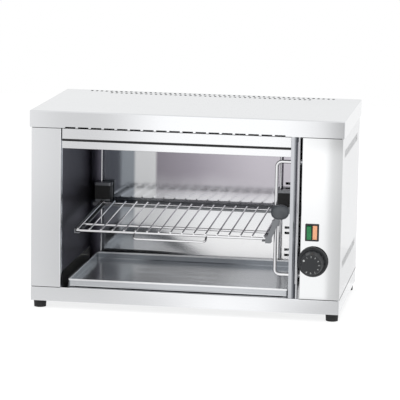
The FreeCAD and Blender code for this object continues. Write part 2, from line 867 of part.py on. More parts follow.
def screw_solid(head, shank, length):
    """A pan-head screw along +Z with its head's underside at the origin."""
    tall = head * CROWN
    crown = Part.makeCylinder(head / 2, tall, FreeCAD.Vector(0, 0, -tall))
    rim = [edge for edge in crown.Edges if edge.BoundBox.ZMax < -tall / 2]
    crown = crown.makeFillet(head * CROWN_ROUND, rim)
    return crown.fuse(Part.makeCylinder(shank / 2, length)).removeSplitter()


def add_screws(label, places, axis, head, shank, length):
    """A group of equal screws, their heads' undersides at the places given."""
    turn = FreeCAD.Rotation(FreeCAD.Vector(0, 0, 1), FreeCAD.Vector(*axis))
    solids = []
    for x, y, z in places:
        solid = screw_solid(head.value, shank.value, length.value)
        place = FreeCAD.Vector(as_size(x).value, as_size(y + FRAME_SHIFT).value, as_size(z).value)
        solid.Placement = FreeCAD.Placement(place, turn)
        solids.append(solid)
    group = doc.addObject("Part::Feature", label)
    group.Shape = Part.makeCompound(solids)
    group.Label = label
    parts.append(group)


def rear_screw_places():
    """X and z of the screws that hold the rear panel to the casing flanges."""
    rise = LID_SKIRT - BASE_TOP
    return [(x, BASE_TOP + rise * part) for x in (size("screw_inset") - HALF_W, HALF_W - size("screw_inset"))
            for part in REAR_SCREW_SPOTS]


def lid_screw_places():
    """X and z of the screws through the lid's rear band."""
    return [(HALF_W * part, LID_SKIRT + size("lid_band") / 2) for part in LID_SCREW_SPOTS]


def drill_back(body, places, start, length):
    """Round holes along Y through a sheet, from start towards the front."""
    sketch = new_sketch(body, "XZ_Plane", -start)
    for x, z in places:
        draw_circle(sketch, x, z, size("screw") + SEAT * 2)
    pocket(body, sketch, length, reverse=True)


def add_fasteners():
    """Foot screws, rear panel screws and the lid's rear screws."""
    ledge = size("foot_height") / 2
    places = [(x, y, ledge) for name, x, y in foot_places()]
    reach = PLATE_Z + T * 2 - ledge
    add_screws("foot_screws", places, (0, 0, 1), size("foot_screw_head"), size("foot_screw"), reach)
    places = [(x, BACK, z) for x, z in rear_screw_places()]
    add_screws("rear_screws", places, (0, -1, 0), size("screw_head"), size("screw"), T * 3)
    places = [(x, size("depth") / 2, z) for x, z in lid_screw_places()]
    add_screws("lid_screws", places, (0, -1, 0), size("screw_head"), size("screw"),
               T * 3 + size("lid_overhang"))


def add_rear_panel():
    """Back of the casing with the hole for the mains gland."""
    body = new_body("rear_panel")
    sketch = new_sketch(body, "XZ_Plane", -BACK)
    draw_box(sketch, -HALF_W, HALF_W, BASE_TOP, LID_UNDER)
    draw_circle(sketch, GLAND_X, GLAND_Z, size("gland_thread") + SEAT * 2)
    pad(body, sketch, T)
    drill_back(body, rear_screw_places() + lid_screw_places(), BACK + OVER, T + OVER * 2)
    finish("rear_panel", body)


def add_cavity_liner():
    """Left wall, back and right wall of the cavity in one sheet with large upright corners."""
    body = new_body("cavity_liner")
    left_start = FRONT + size("bend") + SEAT
    right_start = FRONT + size("jamb_bevel") + SEAT
    points = [
        (CAVITY_LEFT - T, left_start), (CAVITY_LEFT, left_start), (CAVITY_LEFT, CAVITY_BACK),
        (CAVITY_RIGHT, CAVITY_BACK), (CAVITY_RIGHT, right_start), (CAVITY_RIGHT + T, right_start),
        (CAVITY_RIGHT + T, CAVITY_BACK + T), (CAVITY_LEFT - T, CAVITY_BACK + T),
    ]
    sketch = new_sketch(body, "XY_Plane", BASE_TOP)
    draw_loop(sketch, points)
    pad(body, sketch, LINER_TOP - BASE_TOP)
    inner = upright_edges(body.Shape, *points[2]) + upright_edges(body.Shape, *points[3])
    round_edges(body, inner, size("liner_corner"))
    outer = upright_edges(body.Shape, *points[6]) + upright_edges(body.Shape, *points[7])
    round_edges(body, outer, size("liner_corner") + T)
    sketch = new_sketch(body, "YZ_Plane", CAVITY_RIGHT + T + OVER)
    notch_end = CAVITY_BACK - size("liner_corner") - size("liner_notch_gap")
    draw_box(sketch, FRONT, notch_end, BASE_TOP - OVER, WALL_FOOT)
    pocket(body, sketch, CAVITY_RIGHT - CAVITY_LEFT + (T + OVER) * 2)
    sketch = new_sketch(body, "XZ_Plane", OVER - CAVITY_BACK)
    x = CAVITY_RIGHT - size("slot_inset")
    for rise in (ZERO, size("slot_step")):
        low = BASE_TOP + size("slot_base_rise") + rise - size("slot_height") / 2
        draw_box(sketch, x - size("slot_width") / 2, x + size("slot_width") / 2,
                 low, low + size("slot_height"))
    slots = pocket(body, sketch, T + OVER * 2)
    repeat(body, slots, "Z_Axis", size("slot_pitch"), SLOT_PAIRS)
    sketch = new_sketch(body, "YZ_Plane", CAVITY_RIGHT + T + OVER)
    for y in tube_ys():
        draw_circle(sketch, y, TUBE_Z, size("tube") + SEAT * 4)
    for z in (FRONT_ROD_BASE, FRONT_ROD_TOP):
        draw_circle(sketch, FRONT_ROD_Y, z, size("front_rod") + SEAT * 2)
    pocket(body, sketch, T + OVER * 2)
    finish("cavity_liner", body)


def element_ys():
    """Middle of each heating loop."""
    first = FRONT + size("element_setback") + size("tube_loop") / 2
    return [first, first + size("element_pitch")]


def tube_ys():
    """Each straight leg of the heating loops."""
    half = size("tube_loop") / 2
    return [y + side for y in element_ys() for side in (-half, half)]


def add_reflector():
    """Plate over the elements, resting on the liner, with a down-turned front flange."""
    body = new_body("reflector")
    front = FRONT + size("fascia_depth") - T
    left = PILLAR_X + SEAT
    notch = FRONT + size("pillar_return") + SEAT
    sketch = new_sketch(body, "XY_Plane", LINER_TOP)
    draw_loop(sketch, [
        (CAVITY_LEFT - T, notch), (left, notch), (left, front), (CAVITY_RIGHT + T, front),
        (CAVITY_RIGHT + T, CAVITY_BACK + T), (CAVITY_LEFT - T, CAVITY_BACK + T),
    ])
    pad(body, sketch, T)
    sketch = new_sketch(body, "XY_Plane", FASCIA_BASE + T)
    draw_box(sketch, left, OPENING_RIGHT - SEAT, front, front + T)
    pad(body, sketch, LINER_TOP - FASCIA_BASE - T)
    finish("reflector", body)


def strip_ends():
    """Left and right end of the strips across the opening."""
    return PILLAR_X + size("fascia_end_gap"), OPENING_RIGHT - SEAT


def front_bends(shape, levels):
    """Names of the front edges of a strip at its lower and upper level."""
    names = []
    for z in levels:
        names += straight_edges(shape, "X", (FRONT, z))
    return names


def add_fascia_strip():
    """Channel across the top of the opening, below the lid band."""
    body = new_body("fascia_strip")
    left, right = strip_ends()
    inner = FRONT + size("fascia_depth")
    sketch = new_sketch(body, "YZ_Plane", left)
    draw_loop(sketch, [
        (inner, FASCIA_BASE), (FRONT, FASCIA_BASE), (FRONT, FASCIA_TOP), (inner, FASCIA_TOP),
        (inner, FASCIA_TOP - T), (FRONT + T, FASCIA_TOP - T), (FRONT + T, FASCIA_BASE + T),
        (inner, FASCIA_BASE + T),
    ])
    pad(body, sketch, right - left)
    round_edges(body, front_bends(body.Shape, (FASCIA_BASE, FASCIA_TOP)), size("strip_bend"))
    finish("fascia_strip", body)


def add_hood_lip():
    """Lower strip of the hood: hemmed face, shelf and the leg that hangs it from the reflector."""
    body = new_body("hood_lip")
    left, right = strip_ends()
    leg = FRONT + size("lip_depth")
    hem = size("lip_hem")
    sketch = new_sketch(body, "YZ_Plane", left)
    draw_loop(sketch, [
        (FRONT + hem, LIP_BASE), (FRONT, LIP_BASE), (FRONT, LIP_TOP), (leg - T, LIP_TOP),
        (leg - T, LINER_TOP), (leg, LINER_TOP), (leg, LIP_TOP - T), (FRONT + T, LIP_TOP - T),
        (FRONT + T, LIP_BASE + T), (FRONT + hem, LIP_BASE + T),
    ])
    pad(body, sketch, right - left)
    round_edges(body, front_bends(body.Shape, (LIP_BASE, LIP_TOP)), size("strip_bend"))
    finish("hood_lip", body)


def add_elements():
    """Two hairpin sheathed elements that enter from the control bay."""
    inner_end = CAVITY_LEFT + size("tube_end_gap")
    outer_end = CAVITY_RIGHT + T + size("tube_tail")
    for name, y in zip(("front", "rear"), element_ys()):
        body = new_body("element_" + name)
        half = size("tube_loop") / 2
        spine = new_sketch(body, "XY_Plane", TUBE_Z)
        bent_path(spine, [(outer_end, y - half), (inner_end, y - half), (inner_end, y + half),
                          (outer_end, y + half)], size("tube_bend"))
        profile = new_sketch(body, "YZ_Plane", outer_end)
        draw_circle(profile, y - half, TUBE_Z, size("tube"))
        doc.recompute()
        pipe(body, profile, spine)
        finish("element_" + name, body)


def add_element_hangers():
    """Two upright plates under the reflector that the tubes pass through."""
    ys = tube_ys()
    edge = size("hanger_depth")
    low, tab = TUBE_Z - size("tube"), size("hanger_tab")
    places = (("left", CAVITY_LEFT + size("hanger_inset")), ("right", CAVITY_RIGHT - size("hanger_inset")))
    for name, x in places:
        body = new_body("element_hanger_" + name)
        sketch = new_sketch(body, "XZ_Plane", -(ys[0] - edge))
        draw_loop(sketch, [(x, low), (x + T, low), (x + T, LINER_TOP - T), (x + tab, LINER_TOP - T),
                           (x + tab, LINER_TOP), (x, LINER_TOP)])
        pad(body, sketch, ys[-1] - ys[0] + edge * 2, reverse=True)
        holes = new_sketch(body, "YZ_Plane", x + T + OVER)
        for y in ys:
            draw_circle(holes, y, TUBE_Z, size("tube") + SEAT * 2)
        pocket(body, holes, T + OVER * 2)
        finish("element_hanger_" + name, body)


def add_element_terminals():
    """Ceramic collar and connection pin on each tube end."""
    body = new_body("element_terminals")
    start = CAVITY_RIGHT + T + size("tube_tail")
    collar = new_sketch(body, "YZ_Plane", start)
    for y in tube_ys():
        draw_circle(collar, y, TUBE_Z, size("tube") + size("collar_wall") * 2)
    pad(body, collar, size("collar_length"))
    pin = new_sketch(body, "YZ_Plane", start + size("collar_length"))
    for y in tube_ys():
        draw_circle(pin, y, TUBE_Z, size("pin"))
    pad(body, pin, size("pin_length"))
    finish("element_terminals", body)


def circle_rod(name, x, y, low, high, diameter):
    """An upright rod between two heights."""
    body = new_body(name)
    sketch = new_sketch(body, "XY_Plane", low)
    draw_circle(sketch, x, y, diameter)
    pad(body, sketch, high - low)
    finish(name, body)


def add_guide_rods():
    """Two upright rods behind the rack, each held by a footed clip and a clip near its top."""
    front = ROD_Y - size("rod") / 2 - size("rod_floor")
    for name, x in ROD_XS.items():
        circle_rod("guide_rod_" + name, x, ROD_Y, ROD_BASE, ROD_TOP, size("rod"))
        upper = ROD_TOP - size("clip_height") - size("clip_drop")
        levels = (("lower", BASE_TOP, ROD_BASE), ("upper", upper, ZERO))
        for level, low, floor in levels:
            body = new_body("rod_clip_%s_%s" % (name, level))
            half, tab = size("clip_half"), size("clip_tab")
            sketch = new_sketch(body, "XY_Plane", low)
            draw_loop(sketch, [(x - half, front), (x + tab, front), (x + tab, CAVITY_BACK),
                               (x, CAVITY_BACK), (x - half, CAVITY_BACK - half)])
            pad(body, sketch, size("clip_height"))
            hole = new_sketch(body, "XY_Plane", low + size("clip_height"))
            draw_circle(hole, x, ROD_Y, size("rod") + SEAT * 2)
            pocket(body, hole, low + size("clip_height") - floor if floor.value else size("clip_height"))
            finish("rod_clip_%s_%s" % (name, level), body)


def add_sliders():
    """Channel bracket and bearing block that ride on each guide rod."""
    ear, web = size("slider_ear"), size("slider_web")
    base, top = SLIDER_BASE, SLIDER_TOP
    for name, rod_x in ROD_XS.items():
        left = SLIDER_XS[name]
        body = new_body("slider_" + name)
        right = left + size("slider_width")
        sketch = new_sketch(body, "XY_Plane", base)
        draw_box(sketch, left, right, SLIDER_FRONT, SLIDER_BACK)
        pad(body, sketch, size("slider_height"))
        corners = []
        for x in (left, right):
            for y in (SLIDER_BACK, SLIDER_FRONT):
                corners += upright_edges(body.Shape, x, y)
        round_edges(body, corners, size("slider_round"))
        mouth = new_sketch(body, "YZ_Plane", right + OVER)
        draw_box(mouth, SLIDER_FRONT - OVER, SLIDER_BACK - web, base + ear, top - ear)
        pocket(body, mouth, size("slider_width") + OVER * 2)
        hole = new_sketch(body, "XY_Plane", top + OVER)
        draw_circle(hole, rod_x, ROD_Y, size("rod") + SEAT * 2)
        pocket(body, hole, size("slider_height") + OVER * 2)
        finish("slider_" + name, body)
        body = new_body("bush_" + name)
        inset = size("bush_inset")
        sketch = new_sketch(body, "XY_Plane", base + ear)
        draw_box(sketch, left + inset, left + size("slider_width") - inset,
                 SLIDER_FRONT + size("bush_setback"), SLIDER_BACK - web)
        draw_circle(sketch, rod_x, ROD_Y, size("rod") + size("turn_gap") * 2)
        pad(body, sketch, size("slider_height") - ear * 2)
        finish("bush_" + name, body)


def slope_at(y, drop):
    """Height on the rack's slope at a place along Y, lowered by drop."""
    return RACK_Z + (y - RACK_Y) * SLOPE - drop


def sloped_bar(body, x0, x1, front, back, top, bottom):
    """A bar along the rack's slope between two places along X."""
    sketch = new_sketch(body, "YZ_Plane", x0)
    draw_loop(sketch, [(front, slope_at(front, bottom)), (back, slope_at(back, bottom)),
                       (back, slope_at(back, top)), (front, slope_at(front, top))])
    pad(body, sketch, x1 - x0)


def add_carrier_frame():
    """Rear bar with two sloping angle rails that hold the wire rack, and a lug for the handle."""
    body = new_body("carrier_frame")
    plate, ledge = size("rail_plate"), size("rail_ledge")
    left, right = SLIDER_XS["left"], SLIDER_XS["right"] + size("slider_width")
    sketch = new_sketch(body, "YZ_Plane", left)
    draw_box(sketch, BAR_FRONT, BAR_FRONT + size("bar_depth"), BAR_BASE, SLIDER_BASE)
    pad(body, sketch, right - left)
    low = LEDGE_DROP + plate
    high = low - size("rail_height")
    nose = RACK_Y - plate
    sloped_bar(body, RAIL_LEFT - plate, RAIL_LEFT, nose, RAIL_BACK, high, low)
    sloped_bar(body, RAIL_LEFT, RAIL_LEFT + ledge, nose, RAIL_BACK, LEDGE_DROP, low)
    sloped_bar(body, RAIL_RIGHT, RAIL_RIGHT + plate, ARM_BACK, RAIL_BACK, high, low)
    sloped_bar(body, RAIL_RIGHT - ledge, RAIL_RIGHT, nose, RAIL_BACK, LEDGE_DROP, low)
    sketch = new_sketch(body, "XZ_Plane", -(ARM_BACK + plate))
    draw_box(sketch, RAIL_RIGHT, RAIL_RIGHT + size("lug_width"), LUG_BASE, LUG_BASE + size("lug_height"))
    pad(body, sketch, plate)
    corners = []
    for z in (LUG_BASE, LUG_BASE + size("lug_height")):
        corners += straight_edges(body.Shape, "Y", (RAIL_RIGHT + size("lug_width"), z))
    round_edges(body, corners, size("lug_round"))
    finish("carrier_frame", body)


def add_handle():
    """Flat arm from the lug up to the ball knob, and the eye that runs on the front rod."""
    body = new_body("handle_arm")
    half = size("arm_width") / 2
    sketch = new_sketch(body, "XZ_Plane")
    draw_box(sketch, -half, ARM_LENGTH, -half, half)
    pad(body, sketch, size("arm_plate"))
    ends = []
    for x in (-half, ARM_LENGTH):
        for z in (-half, half):
            ends += straight_edges(body.Shape, "Y", (x, z))
    round_edges(body, ends, size("arm_round"))
    body.Placement = FreeCAD.Placement(FreeCAD.Vector(0, 0, 0),
                                       FreeCAD.Rotation(FreeCAD.Vector(0, 1, 0), ARM_ANGLE.value))
    finish("handle_arm", body)
    bind(body, "Placement.Rotation.Angle", ARM_ANGLE)
    bind(body, "Placement.Base.x", ARM_START[0])
    bind(body, "Placement.Base.y", ARM_BACK + FRAME_SHIFT)
    bind(body, "Placement.Base.z", ARM_START[1])

    body = new_body("guide_eye")
    half_w, half_h = size("eye_half_width"), size("eye_half_height")
    sketch = new_sketch(body, "XY_Plane", EYE_Z - half_h)
    draw_box(sketch, FRONT_ROD_X - half_w, FRONT_ROD_X + half_w, ARM_BACK,
             FRONT_ROD_Y + size("front_rod") / 2 + size("eye_wall"))
    draw_circle(sketch, FRONT_ROD_X, FRONT_ROD_Y, size("front_rod") + size("turn_gap") * 2)
    pad(body, sketch, half_h * 2)
    finish("guide_eye", body)

    body = new_body("ball_knob")
    radius, half = size("ball_width") / 2, size("ball_height") / 2
    sketch = new_sketch(body, "XY_Plane", -half)
    draw_circle(sketch, ZERO, ZERO, size("ball_width"))
    pad(body, sketch, half * 2)
    round_edges(body, level_edges(body.Shape, -half) + level_edges(body.Shape, half), size("ball_round"))
    sketch = new_sketch(body, "XZ_Plane", -(radius + OVER))
    draw_box(sketch, -radius, radius, -half - OVER, half + OVER)
    pocket(body, sketch, size("ball_flat") + OVER, reverse=True)
    finish("ball_knob", body)
    bind(body, "Placement.Base.x", BALL_X)
    bind(body, "Placement.Base.y", ARM_FRONT - radius + size("ball_flat") + FRAME_SHIFT)
    bind(body, "Placement.Base.z", BALL_Z)


def hexagon(x, y, corner):
    """Six corners of a nut round a place."""
    tall = corner * (math.sqrt(3) / 2)
    return [(x + corner, y), (x + corner / 2, y + tall), (x - corner / 2, y + tall),
            (x - corner, y), (x - corner / 2, y - tall), (x + corner / 2, y - tall)]


def add_front_rod():
    """C-shaped guide rod at the front right with a nut on each end outside the liner."""
    body = new_body("front_guide_rod")
    spine = new_sketch(body, "XZ_Plane", -FRONT_ROD_Y)
    bent_path(spine, [(FRONT_ROD_END, FRONT_ROD_TOP), (FRONT_ROD_X, FRONT_ROD_TOP),
                      (FRONT_ROD_X, FRONT_ROD_BASE), (FRONT_ROD_END, FRONT_ROD_BASE)],
              size("front_rod_bend"))
    profile = new_sketch(body, "YZ_Plane", FRONT_ROD_END)
    draw_circle(profile, FRONT_ROD_Y, FRONT_ROD_TOP, size("front_rod"))
    doc.recompute()
    pipe(body, profile, spine)
    finish("front_guide_rod", body)
    for name, z in (("lower", FRONT_ROD_BASE), ("upper", FRONT_ROD_TOP)):
        body = new_body("front_rod_nut_" + name)
        sketch = new_sketch(body, "YZ_Plane", CAVITY_RIGHT + T)
        draw_loop(sketch, hexagon(FRONT_ROD_Y, z, size("rod_nut_corner")))
        draw_circle(sketch, FRONT_ROD_Y, z, size("front_rod") + SEAT * 2)
        pad(body, sketch, size("rod_nut_length"))
        finish("front_rod_nut_" + name, body)


def place_on_rack(label, body):
    """Finish a body drawn flat and lean it back to the rack's slope."""
    body.Placement = FreeCAD.Placement(FreeCAD.Vector(0, 0, 0),
                                       FreeCAD.Rotation(FreeCAD.Vector(1, 0, 0), TILT.value))
    finish(label, body)
    bind(body, "Placement.Rotation.Angle", TILT)
    bind(body, "Placement.Base.y", RACK_Y + FRAME_SHIFT)
    bind(body, "Placement.Base.z", RACK_Z)


def add_wire_rack():
    """Welded rack: long wires on three cross wires, and the bent pull loop below its front wire."""
    body = new_body("wire_rack")
    half_cross = size("cross_wire") / 2
    stations = [half_cross, size("cross_wire_inset"), RACK_DEPTH - half_cross]

    def cross_wire(y):
        sketch = new_sketch(body, "YZ_Plane", RACK_LEFT)
        draw_circle(sketch, y, -CROSS_DROP, size("cross_wire"))
        pad(body, sketch, RACK_RIGHT - RACK_LEFT)

    cross_wire(stations[0])
    first = RACK_LEFT + size("wire_side_inset")
    sketch = new_sketch(body, "XZ_Plane", -RACK_DEPTH)
    draw_circle(sketch, first, ZERO, size("wire"))
    wire = pad(body, sketch, RACK_DEPTH)
    repeat(body, wire, "X_Axis", WIRE_PITCH, WIRE_GAPS + 1)
    for y in stations[1:]:
        cross_wire(y)
    place_on_rack("wire_rack", body)

    body = new_body("rack_pull_loop")
    middle, half = (RACK_LEFT + RACK_RIGHT) / 2, size("loop_width") / 2
    start = -(half_cross + SEAT)
    spine = new_sketch(body, "XY_Plane", -CROSS_DROP, tilt=size("loop_angle"))
    bind(spine, "AttachmentOffset.Base.y", half_cross)
    bent_path(spine, [(middle - half, start), (middle - half, -size("loop_reach")),
                      (middle + half, -size("loop_reach")), (middle + half, start)], size("loop_bend"))
    reach = half_cross + SEAT
    profile = new_sketch(body, "XZ_Plane", reach * cosine("loop_angle") - half_cross, tilt=size("loop_angle"))
    bind(profile, "AttachmentOffset.Base.y", -CROSS_DROP - reach * sine("loop_angle"))
    draw_circle(profile, middle - half, ZERO, size("loop_wire"))
    doc.recompute()
    pipe(body, profile, spine)
    place_on_rack("rack_pull_loop", body)


def add_drip_tray():
    """Shallow pan with rounded corners and a hem round its rim, on two angle runners."""
    body = new_body("drip_tray")
    corners = [(x, y) for x in (TRAY_LEFT, TRAY_RIGHT) for y in (TRAY_FRONT, TRAY_BACK)]
    sketch = new_sketch(body, "XY_Plane", TRAY_BASE)
    draw_box(sketch, TRAY_LEFT, TRAY_RIGHT, TRAY_FRONT, TRAY_BACK)
    pad(body, sketch, size("tray_height"))
    rim = new_sketch(body, "XY_Plane", TRAY_TOP - size("tray_hem"))
    draw_box(rim, TRAY_LEFT - T, TRAY_RIGHT + T, TRAY_FRONT - T, TRAY_BACK + T)
    pad(body, rim, size("tray_hem"))
    hollow = new_sketch(body, "XY_Plane", TRAY_TOP)
    draw_box(hollow, TRAY_LEFT + T, TRAY_RIGHT - T, TRAY_FRONT + T, TRAY_BACK - T)
    pocket(body, hollow, size("tray_height") - T)
    below = []
    hems = []
    for x, y in corners:
        below += upright_edges(body.Shape, x, y)
        side = T if x is TRAY_RIGHT else -T
        end = T if y is TRAY_BACK else -T
        hems += upright_edges(body.Shape, x + side, y + end)
    round_edges(body, below + hems, size("tray_corner"))
    inner = []
    for x, y in corners:
        side = -T if x is TRAY_RIGHT else T
        end = -T if y is TRAY_BACK else T
        inner += upright_edges(body.Shape, x + side, y + end)
    round_edges(body, inner, size("tray_corner") - T)
    finish("drip_tray", body)
    start = FRONT + size("tray_setback") + size("runner_end_gap")
    length = TRAY_BACK - start - size("runner_end_gap")
    left_web = TRAY_LEFT - SEAT
    right_web = TRAY_RIGHT + SEAT
    for name, web, side in (("left", left_web, -1), ("right", right_web, 1)):
        body = new_body("tray_runner_" + name)
        outer = web + T * side
        inner = outer - size("runner_width") * side
        sketch = new_sketch(body, "XZ_Plane", -start)
        rail_top = BASE_TOP + size("runner_height")
        draw_loop(sketch, [(outer, BASE_TOP), (inner, BASE_TOP), (inner, BASE_TOP + T),
                           (web, BASE_TOP + T), (web, rail_top), (outer, rail_top)])
        pad(body, sketch, length, reverse=True)
        finish("tray_runner_" + name, body)


def turned_body(name, points):
    """A body turned about the Y axis from (radius, y) points."""
    body = new_body(name)
    sketch = new_sketch(body, "XY_Plane")
    draw_loop(sketch, points)
    revolve(body, sketch)
    return body


def place_on_axis(label, body, x, z):
    """Finish a turned body on an axis that runs along Y."""
    finish(label, body)
    bind(body, "Placement.Base.x", x)
    bind(body, "Placement.Base.z", z)


def add_control_knob():
    """Tapered knob with scallops round its foot, a skirt and a pointer dot, on the regulator's shaft."""
    skirt, cap = size("knob_diameter") / 2, size("cap_diameter") / 2
    nose, chamfer = cap - size("cap_taper"), size("cap_chamfer")
    shelf = SKIRT_BACK - size("knob_skirt")
    bore = size("shaft") / 2 + SEAT
    floor = SKIRT_BACK - size("knob_bore_depth")
    body = turned_body("control_knob", [
        (bore, SKIRT_BACK), (skirt, SKIRT_BACK), (skirt, shelf + size("skirt_slope_depth")),
        (skirt - size("skirt_slope"), shelf), (cap, shelf), (nose, KNOB_FRONT + chamfer),
        (nose - chamfer, KNOB_FRONT), (ZERO, KNOB_FRONT), (ZERO, floor), (bore, floor),
    ])
    sketch = new_sketch(body, "XZ_Plane", OVER - KNOB_FRONT)
    draw_circle(sketch, cap + size("flute_offset"), ZERO, size("flute"))
    flute = pocket(body, sketch, size("cap_length") - size("flute_stop") + OVER)
    ring = body.newObject("PartDesign::PolarPattern", "control_knob_flutes")
    ring.Originals = [flute]
    ring.Axis = (origin_feature(body, "Y_Axis"), [""])
    ring.Angle = 360
    ring.Occurrences = round(FLUTES)
    body.Tip = ring
    doc.recompute()
    place_on_axis("control_knob", body, KNOB_X, KNOB_Z)

    body = new_body("knob_pointer")
    ring = size("pointer_ring")
    sketch = new_sketch(body, "XZ_Plane", -KNOB_FRONT)
    draw_circle(sketch, -ring * sine("pointer_angle"), ring * cosine("pointer_angle"), size("pointer_dot"))
    pad(body, sketch, size("pointer_rise"))
    place_on_axis("knob_pointer", body, KNOB_X, KNOB_Z)

    body = new_body("knob_shaft")
    sketch = new_sketch(body, "XZ_Plane", -SHAFT_BACK)
    draw_circle(sketch, ZERO, ZERO, size("shaft"))
    pad(body, sketch, SHAFT_BACK - floor)
    place_on_axis("knob_shaft", body, KNOB_X, KNOB_Z)


def add_regulator():
    """Energy regulator behind the panel with its threaded neck, nut and connection blades."""
    body = new_body("regulator")
    half = size("regulator_size") / 2
    back = FRONT + T
    sketch = new_sketch(body, "XZ_Plane", -back)
    draw_box(sketch, -half, half, -half, half)
    pad(body, sketch, size("regulator_depth"), reverse=True)
    edges = []
    for x in (-half, half):
        for z in (-half, half):
            edges += straight_edges(body.Shape, "Y", (x, z))
    round_edges(body, edges, size("regulator_round"))
    sketch = new_sketch(body, "XZ_Plane", -back)
    draw_circle(sketch, ZERO, ZERO, size("neck"))
    pad(body, sketch, back - NECK_FRONT)
    sketch = new_sketch(body, "XZ_Plane", -NECK_FRONT)
    draw_circle(sketch, ZERO, ZERO, size("shaft") + size("turn_gap") * 2)
    pocket(body, sketch, SHAFT_BACK + OVER - NECK_FRONT)
    sketch = new_sketch(body, "XZ_Plane", -(back + size("regulator_depth")))
    for x in (-size("blade_pitch"), size("blade_pitch")):
        for z in (-size("blade_rise"), size("blade_rise")):
            draw_box(sketch, x - size("blade_width") / 2, x + size("blade_width") / 2,
                     z, z + size("blade_plate"))
    pad(body, sketch, size("blade_length"), reverse=True)
    place_on_axis("regulator", body, KNOB_X, KNOB_Z)

    body = new_body("regulator_nut")
    sketch = new_sketch(body, "XZ_Plane", -FRONT)
    draw_loop(sketch, hexagon(ZERO, ZERO, size("neck_nut_corner")))
    draw_circle(sketch, ZERO, ZERO, size("neck") + SEAT * 2)
    pad(body, sketch, size("neck_nut_length"))
    place_on_axis("regulator_nut", body, KNOB_X, KNOB_Z)


def add_switch():
    """Rocker switch with a pilot lens: one housing, the tilting rocker and the fixed lens."""
    bezel_front = FRONT - size("bezel_plate")
    half_w, half_h = size("bezel_width") / 2, size("bezel_height") / 2
    side, rib = size("recess_side"), size("recess_rib")
    tall = size("recess_half_height")
    body = new_body("switch_housing")
    sketch = new_sketch(body, "XZ_Plane", -FRONT)
    draw_box(sketch, -half_w, half_w, -half_h, half_h)
    pad(body, sketch, size("bezel_plate"))
    edges = []
    for x in (-half_w, half_w):
        for z in (-half_h, half_h):
            edges += straight_edges(body.Shape, "Y", (x, z))
    round_edges(body, edges, size("bezel_round"))
    sketch = new_sketch(body, "XZ_Plane", -FRONT)
    draw_box(sketch, -size("switch_width") / 2, size("switch_width") / 2,
             -size("switch_height") / 2, size("switch_height") / 2)
    pad(body, sketch, size("switch_depth"), reverse=True)
    sketch = new_sketch(body, "XZ_Plane", -bezel_front)
    draw_box(sketch, -side, -rib, -tall, tall)
    draw_box(sketch, rib, side, -tall, tall)
    pocket(body, sketch, size("recess_depth"))
    sketch = new_sketch(body, "YZ_Plane", -(side + size("rocker_pin_bite") + SEAT))
    draw_circle(sketch, PIVOT_Y, ZERO, size("rocker_pin") + size("turn_gap") * 2)
    pocket(body, sketch, side - rib + (size("rocker_pin_bite") + SEAT) * 2, reverse=True)
    sketch = new_sketch(body, "XZ_Plane", -(FRONT + size("switch_depth")))
    for z in (-size("switch_blade_pitch"), ZERO, size("switch_blade_pitch")):
        draw_box(sketch, -size("blade_width") / 2, size("blade_width") / 2, z, z + size("blade_plate"))
    pad(body, sketch, size("blade_length"), reverse=True)
    place_on_axis("switch_housing", body, SWITCH_X, SWITCH_Z)

    body = new_body("switch_rocker")
    reach = size("rocker_half_height")
    tip, dip, root, belly = (size("rocker_" + name) for name in ("tip", "dip", "root", "belly"))
    sketch = new_sketch(body, "YZ_Plane", SEAT - side)
    draw_loop(sketch, [(-tip, reach), (-dip, ZERO), (-tip, -reach), (root, -reach),
                       (belly, -reach / 3), (belly, reach / 3), (root, reach)])
    pad(body, sketch, side - rib - SEAT * 2)
    sketch = new_sketch(body, "YZ_Plane", -(side + size("rocker_pin_bite")))
    draw_circle(sketch, ZERO, ZERO, size("rocker_pin"))
    pad(body, sketch, side - rib + size("rocker_pin_bite") * 2)
    body.Placement = FreeCAD.Placement(
        FreeCAD.Vector(0, 0, 0), FreeCAD.Rotation(FreeCAD.Vector(1, 0, 0), size("rocker_tilt").value))
    place_on_axis("switch_rocker", body, SWITCH_X, SWITCH_Z)
    bind(body, "Placement.Rotation.Angle", size("rocker_tilt"))
    bind(body, "Placement.Base.y", PIVOT_Y + FRAME_SHIFT)

    body = new_body("pilot_lens")
    sketch = new_sketch(body, "XZ_Plane", -RECESS_FLOOR)
    draw_box(sketch, rib + SEAT, side - SEAT, SEAT - tall, tall - SEAT)
    length = size("recess_depth") + size("lens_rise")
    pad(body, sketch, length)
    front = RECESS_FLOOR - length
    rim = [edge for edge in range(1, len(body.Shape.Edges) + 1)
           if body.Shape.Edges[edge - 1].BoundBox.YMax < front.value + 0.01]
    round_edges(body, ["Edge%d" % edge for edge in rim], size("lens_round"))
    place_on_axis("pilot_lens", body, SWITCH_X, SWITCH_Z)


